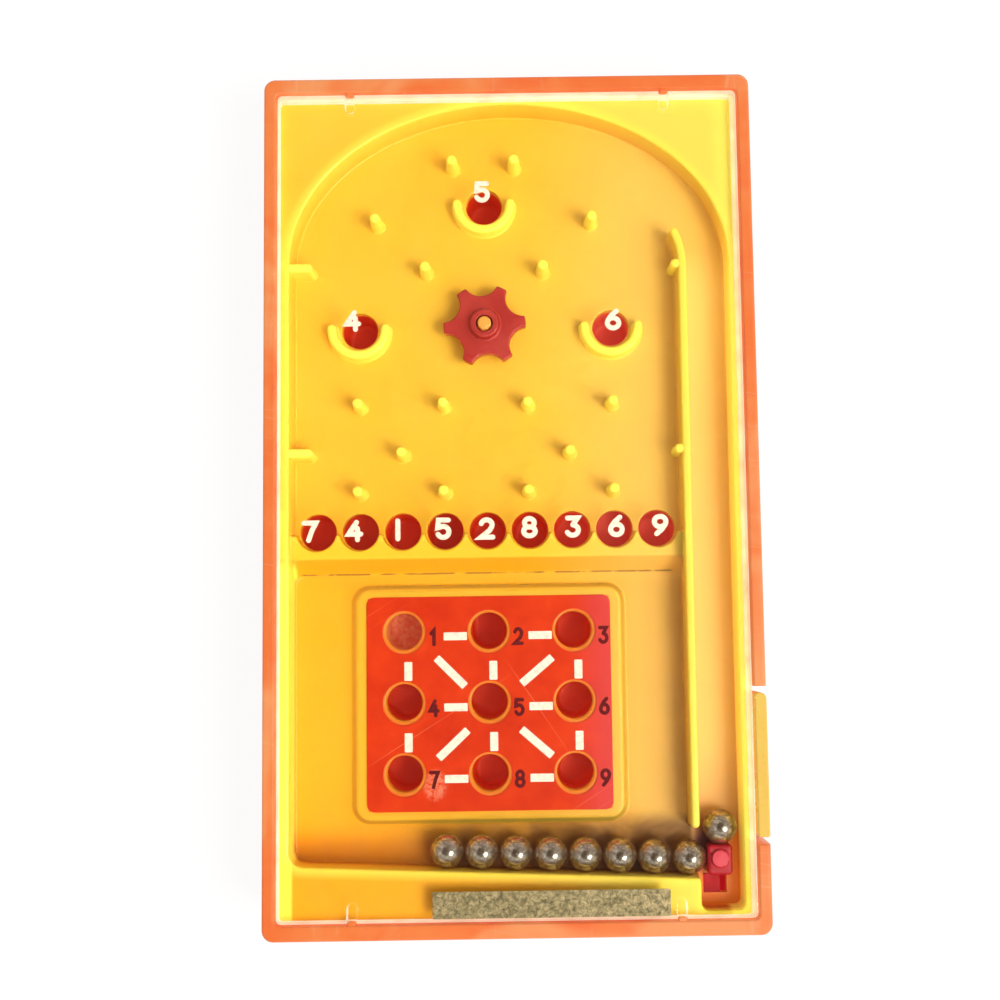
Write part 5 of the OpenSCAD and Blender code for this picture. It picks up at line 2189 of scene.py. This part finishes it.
@dataclass
class Balls(SubAssembly):
    """The nine steel balls."""

    turn: Triple = (0.7, 1.1, 0.4)
    rings: int = 28
    sides: int = 56

    def build(self) -> None:
        """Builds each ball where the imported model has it, each turned another way."""
        nodes = ["lane_ball", *(f"row_ball_{n}" for n in range(1, 9))]
        for number, node in enumerate(nodes):
            lo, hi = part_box(node)
            turn = Euler([number * angle for angle in self.turn]).to_matrix().to_4x4()
            sphere = self._sphere((hi.x - lo.x) / 2 / MM).moved(turn)
            piece = sphere.to_object(node + "_steel", [self.paints.steel])
            piece.location = (lo + hi) / 2
            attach(piece, node)
            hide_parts(node)
            LOG.info("%s: %d faces", node, len(sphere.faces))

    def _sphere(self, r: float) -> Shape:
        """A smooth sphere about the origin.

        Args:
            r: Radius of the sphere.

        Returns:
            The closed shape.
        """
        out = Shape()
        rings, sides = self.rings, self.sides
        around = [(cosd(360 * k / sides), sind(360 * k / sides)) for k in range(sides)]
        points = [(0.0, 0.0, -1.0)]
        for i in range(1, rings):
            t = -90 + 180 * i / rings
            points += [(cosd(t) * c, cosd(t) * s, sind(t)) for c, s in around]
        points.append((0.0, 0.0, 1.0))
        out.verts = [tuple(r * c for c in p) for p in points]
        top, last = len(points) - 1, 1 + (rings - 2) * sides
        for k in range(sides):
            j = (k + 1) % sides
            for corners in ([0, 1 + j, 1 + k], [top, last + k, last + j]):
                out.face(corners, [points[c] for c in corners])
            for i in range(rings - 2):
                a = 1 + i * sides
                corners = [a + k, a + j, a + sides + j, a + sides + k]
                out.face(corners, [points[c] for c in corners])
        return out


# Studio


@dataclass(frozen=True)
class Light:
    """A soft square light that looks at the middle of the game."""

    name: str
    azimuth: float
    elevation: float
    distance: float
    size: float
    power: float
    colour: Triple = (1.0, 1.0, 1.0)

    def build(self) -> None:
        """Hangs the light."""
        lamp = bpy.data.lights.new(self.name, "AREA")
        lamp.size = self.size
        lamp.energy = self.power
        lamp.color = self.colour
        flat = cosd(self.elevation)
        way = Vector((cosd(self.azimuth) * flat, sind(self.azimuth) * flat, sind(self.elevation)))
        at = way * self.distance
        holder = bpy.data.objects.new(self.name, lamp)
        holder.location = at
        holder.rotation_euler = (-at).to_track_quat("-Z", "Y").to_euler()
        bpy.context.scene.collection.objects.link(holder)


@dataclass(frozen=True)
class Studio:
    """The floor, the light and the camera of the photo."""

    lens: float = 52.2
    shift: float = -0.035
    eye: Triple = (2.5, -19.7, 217.8)
    roll: Triple = (-0.82, 5.45, -0.13)
    sky: float = 0.71
    ceiling: Pair = (0.8, 0.93)
    ceiling_light: float = 0.05
    floor_half: float = 1.5
    floor_z: float = -0.0001
    floor_glow: float = 0.9
    floor_shade: float = 0.14
    paper: float = 0.8
    sensor: float = 36
    lights: tuple[Light, ...] = (Light("key", -30, 58, 0.95, 0.34, 4.3, (1.0, 0.97, 0.93)),)

    def build(self) -> None:
        """Sets up the stage."""
        scene = bpy.context.scene
        scene.view_settings.view_transform = "Standard"
        self._world(scene)
        self._floor()
        for light in self.lights:
            light.build()
        self._camera(scene)

    def _world(self, scene: bpy.types.Scene) -> None:
        """An even white surrounding, with a dark ceiling that keeps the clear cover free of glare."""
        world = bpy.data.worlds.new("studio")
        world.use_nodes = True
        nodes, links = world.node_tree.nodes, world.node_tree.links
        split = nodes.new("ShaderNodeSeparateXYZ")
        links.new(nodes.new("ShaderNodeTexCoord").outputs["Generated"], split.inputs[0])
        ceiling = nodes.new("ShaderNodeMapRange")
        ceiling.interpolation_type = "SMOOTHSTEP"
        (low, high), dark = self.ceiling, self.ceiling_light
        for name, value in (("From Min", low), ("From Max", high), ("To Min", self.sky), ("To Max", dark)):
            ceiling.inputs[name].default_value = value
        links.new(split.outputs["Z"], ceiling.inputs["Value"])
        back = nodes["Background"]
        back.inputs[0].default_value = (1, 1, 1, 1)
        links.new(ceiling.outputs["Result"], back.inputs[1])
        scene.world = world

    def _floor(self) -> None:
        """A pale floor that the camera sees as white, with a faint shadow."""
        mesh = bpy.data.meshes.new("floor")
        half, z = self.floor_half, self.floor_z
        corners = [(-half, -half, z), (half, -half, z), (half, half, z), (-half, half, z)]
        mesh.from_pydata(corners, [], [(0, 1, 2, 3)])
        floor = bpy.data.objects.new("floor", mesh)
        bpy.context.scene.collection.objects.link(floor)
        g = Graph("floor_paper")
        path = g.node("ShaderNodeLightPath").outputs
        seen = g.most(path["Is Camera Ray"], path["Is Glossy Ray"], path["Is Transmission Ray"])
        glow = g.node("ShaderNodeEmission")
        glow.inputs["Strength"].default_value = self.floor_glow
        faint = g.node("ShaderNodeBsdfDiffuse")
        faint.inputs["Color"].default_value = (*[self.floor_shade] * 3, 1)
        both = g.node("ShaderNodeAddShader")
        g.put(both.inputs[0], glow.outputs[0])
        g.put(both.inputs[1], faint.outputs[0])
        paper = g.node("ShaderNodeBsdfDiffuse")
        paper.inputs["Color"].default_value = (*[self.paper] * 3, 1)
        pick = g.node("ShaderNodeMixShader")
        g.put(pick.inputs[0], seen)
        g.put(pick.inputs[1], paper.outputs[0])
        g.put(pick.inputs[2], both.outputs[0])
        mesh.materials.append(g.done(pick.outputs[0]))

    def _camera(self, scene: bpy.types.Scene) -> None:
        """The camera, where the photo was taken."""
        camera = bpy.data.cameras.new("camera")
        camera.lens = self.lens
        camera.sensor_width = self.sensor
        camera.shift_x = self.shift
        camera.clip_start = 0.01
        rz, rx, ry = (math.radians(v) for v in self.roll)
        turn = Matrix.Rotation(rz, 4, "Z") @ Matrix.Rotation(rx, 4, "X") @ Matrix.Rotation(ry, 4, "Y")
        holder = bpy.data.objects.new("camera", camera)
        holder.matrix_world = Matrix.Translation(Vector(self.eye) * MM) @ turn
        scene.collection.objects.link(holder)
        scene.camera = holder


def main() -> None:
    """Builds the game and its studio."""
    logging.basicConfig(level=logging.INFO, format="%(name)s %(message)s")
    layout = Layout.from_frame()
    paints = Palette(layout)
    for kind in (Case, Tray, Board, Cover, Grid, Label, StarWheel, Lever, Hammer, Balls):
        kind(layout, paints).build()
    Studio().build()
    bpy.context.view_layer.update()


if __name__ == "__main__":
    main()
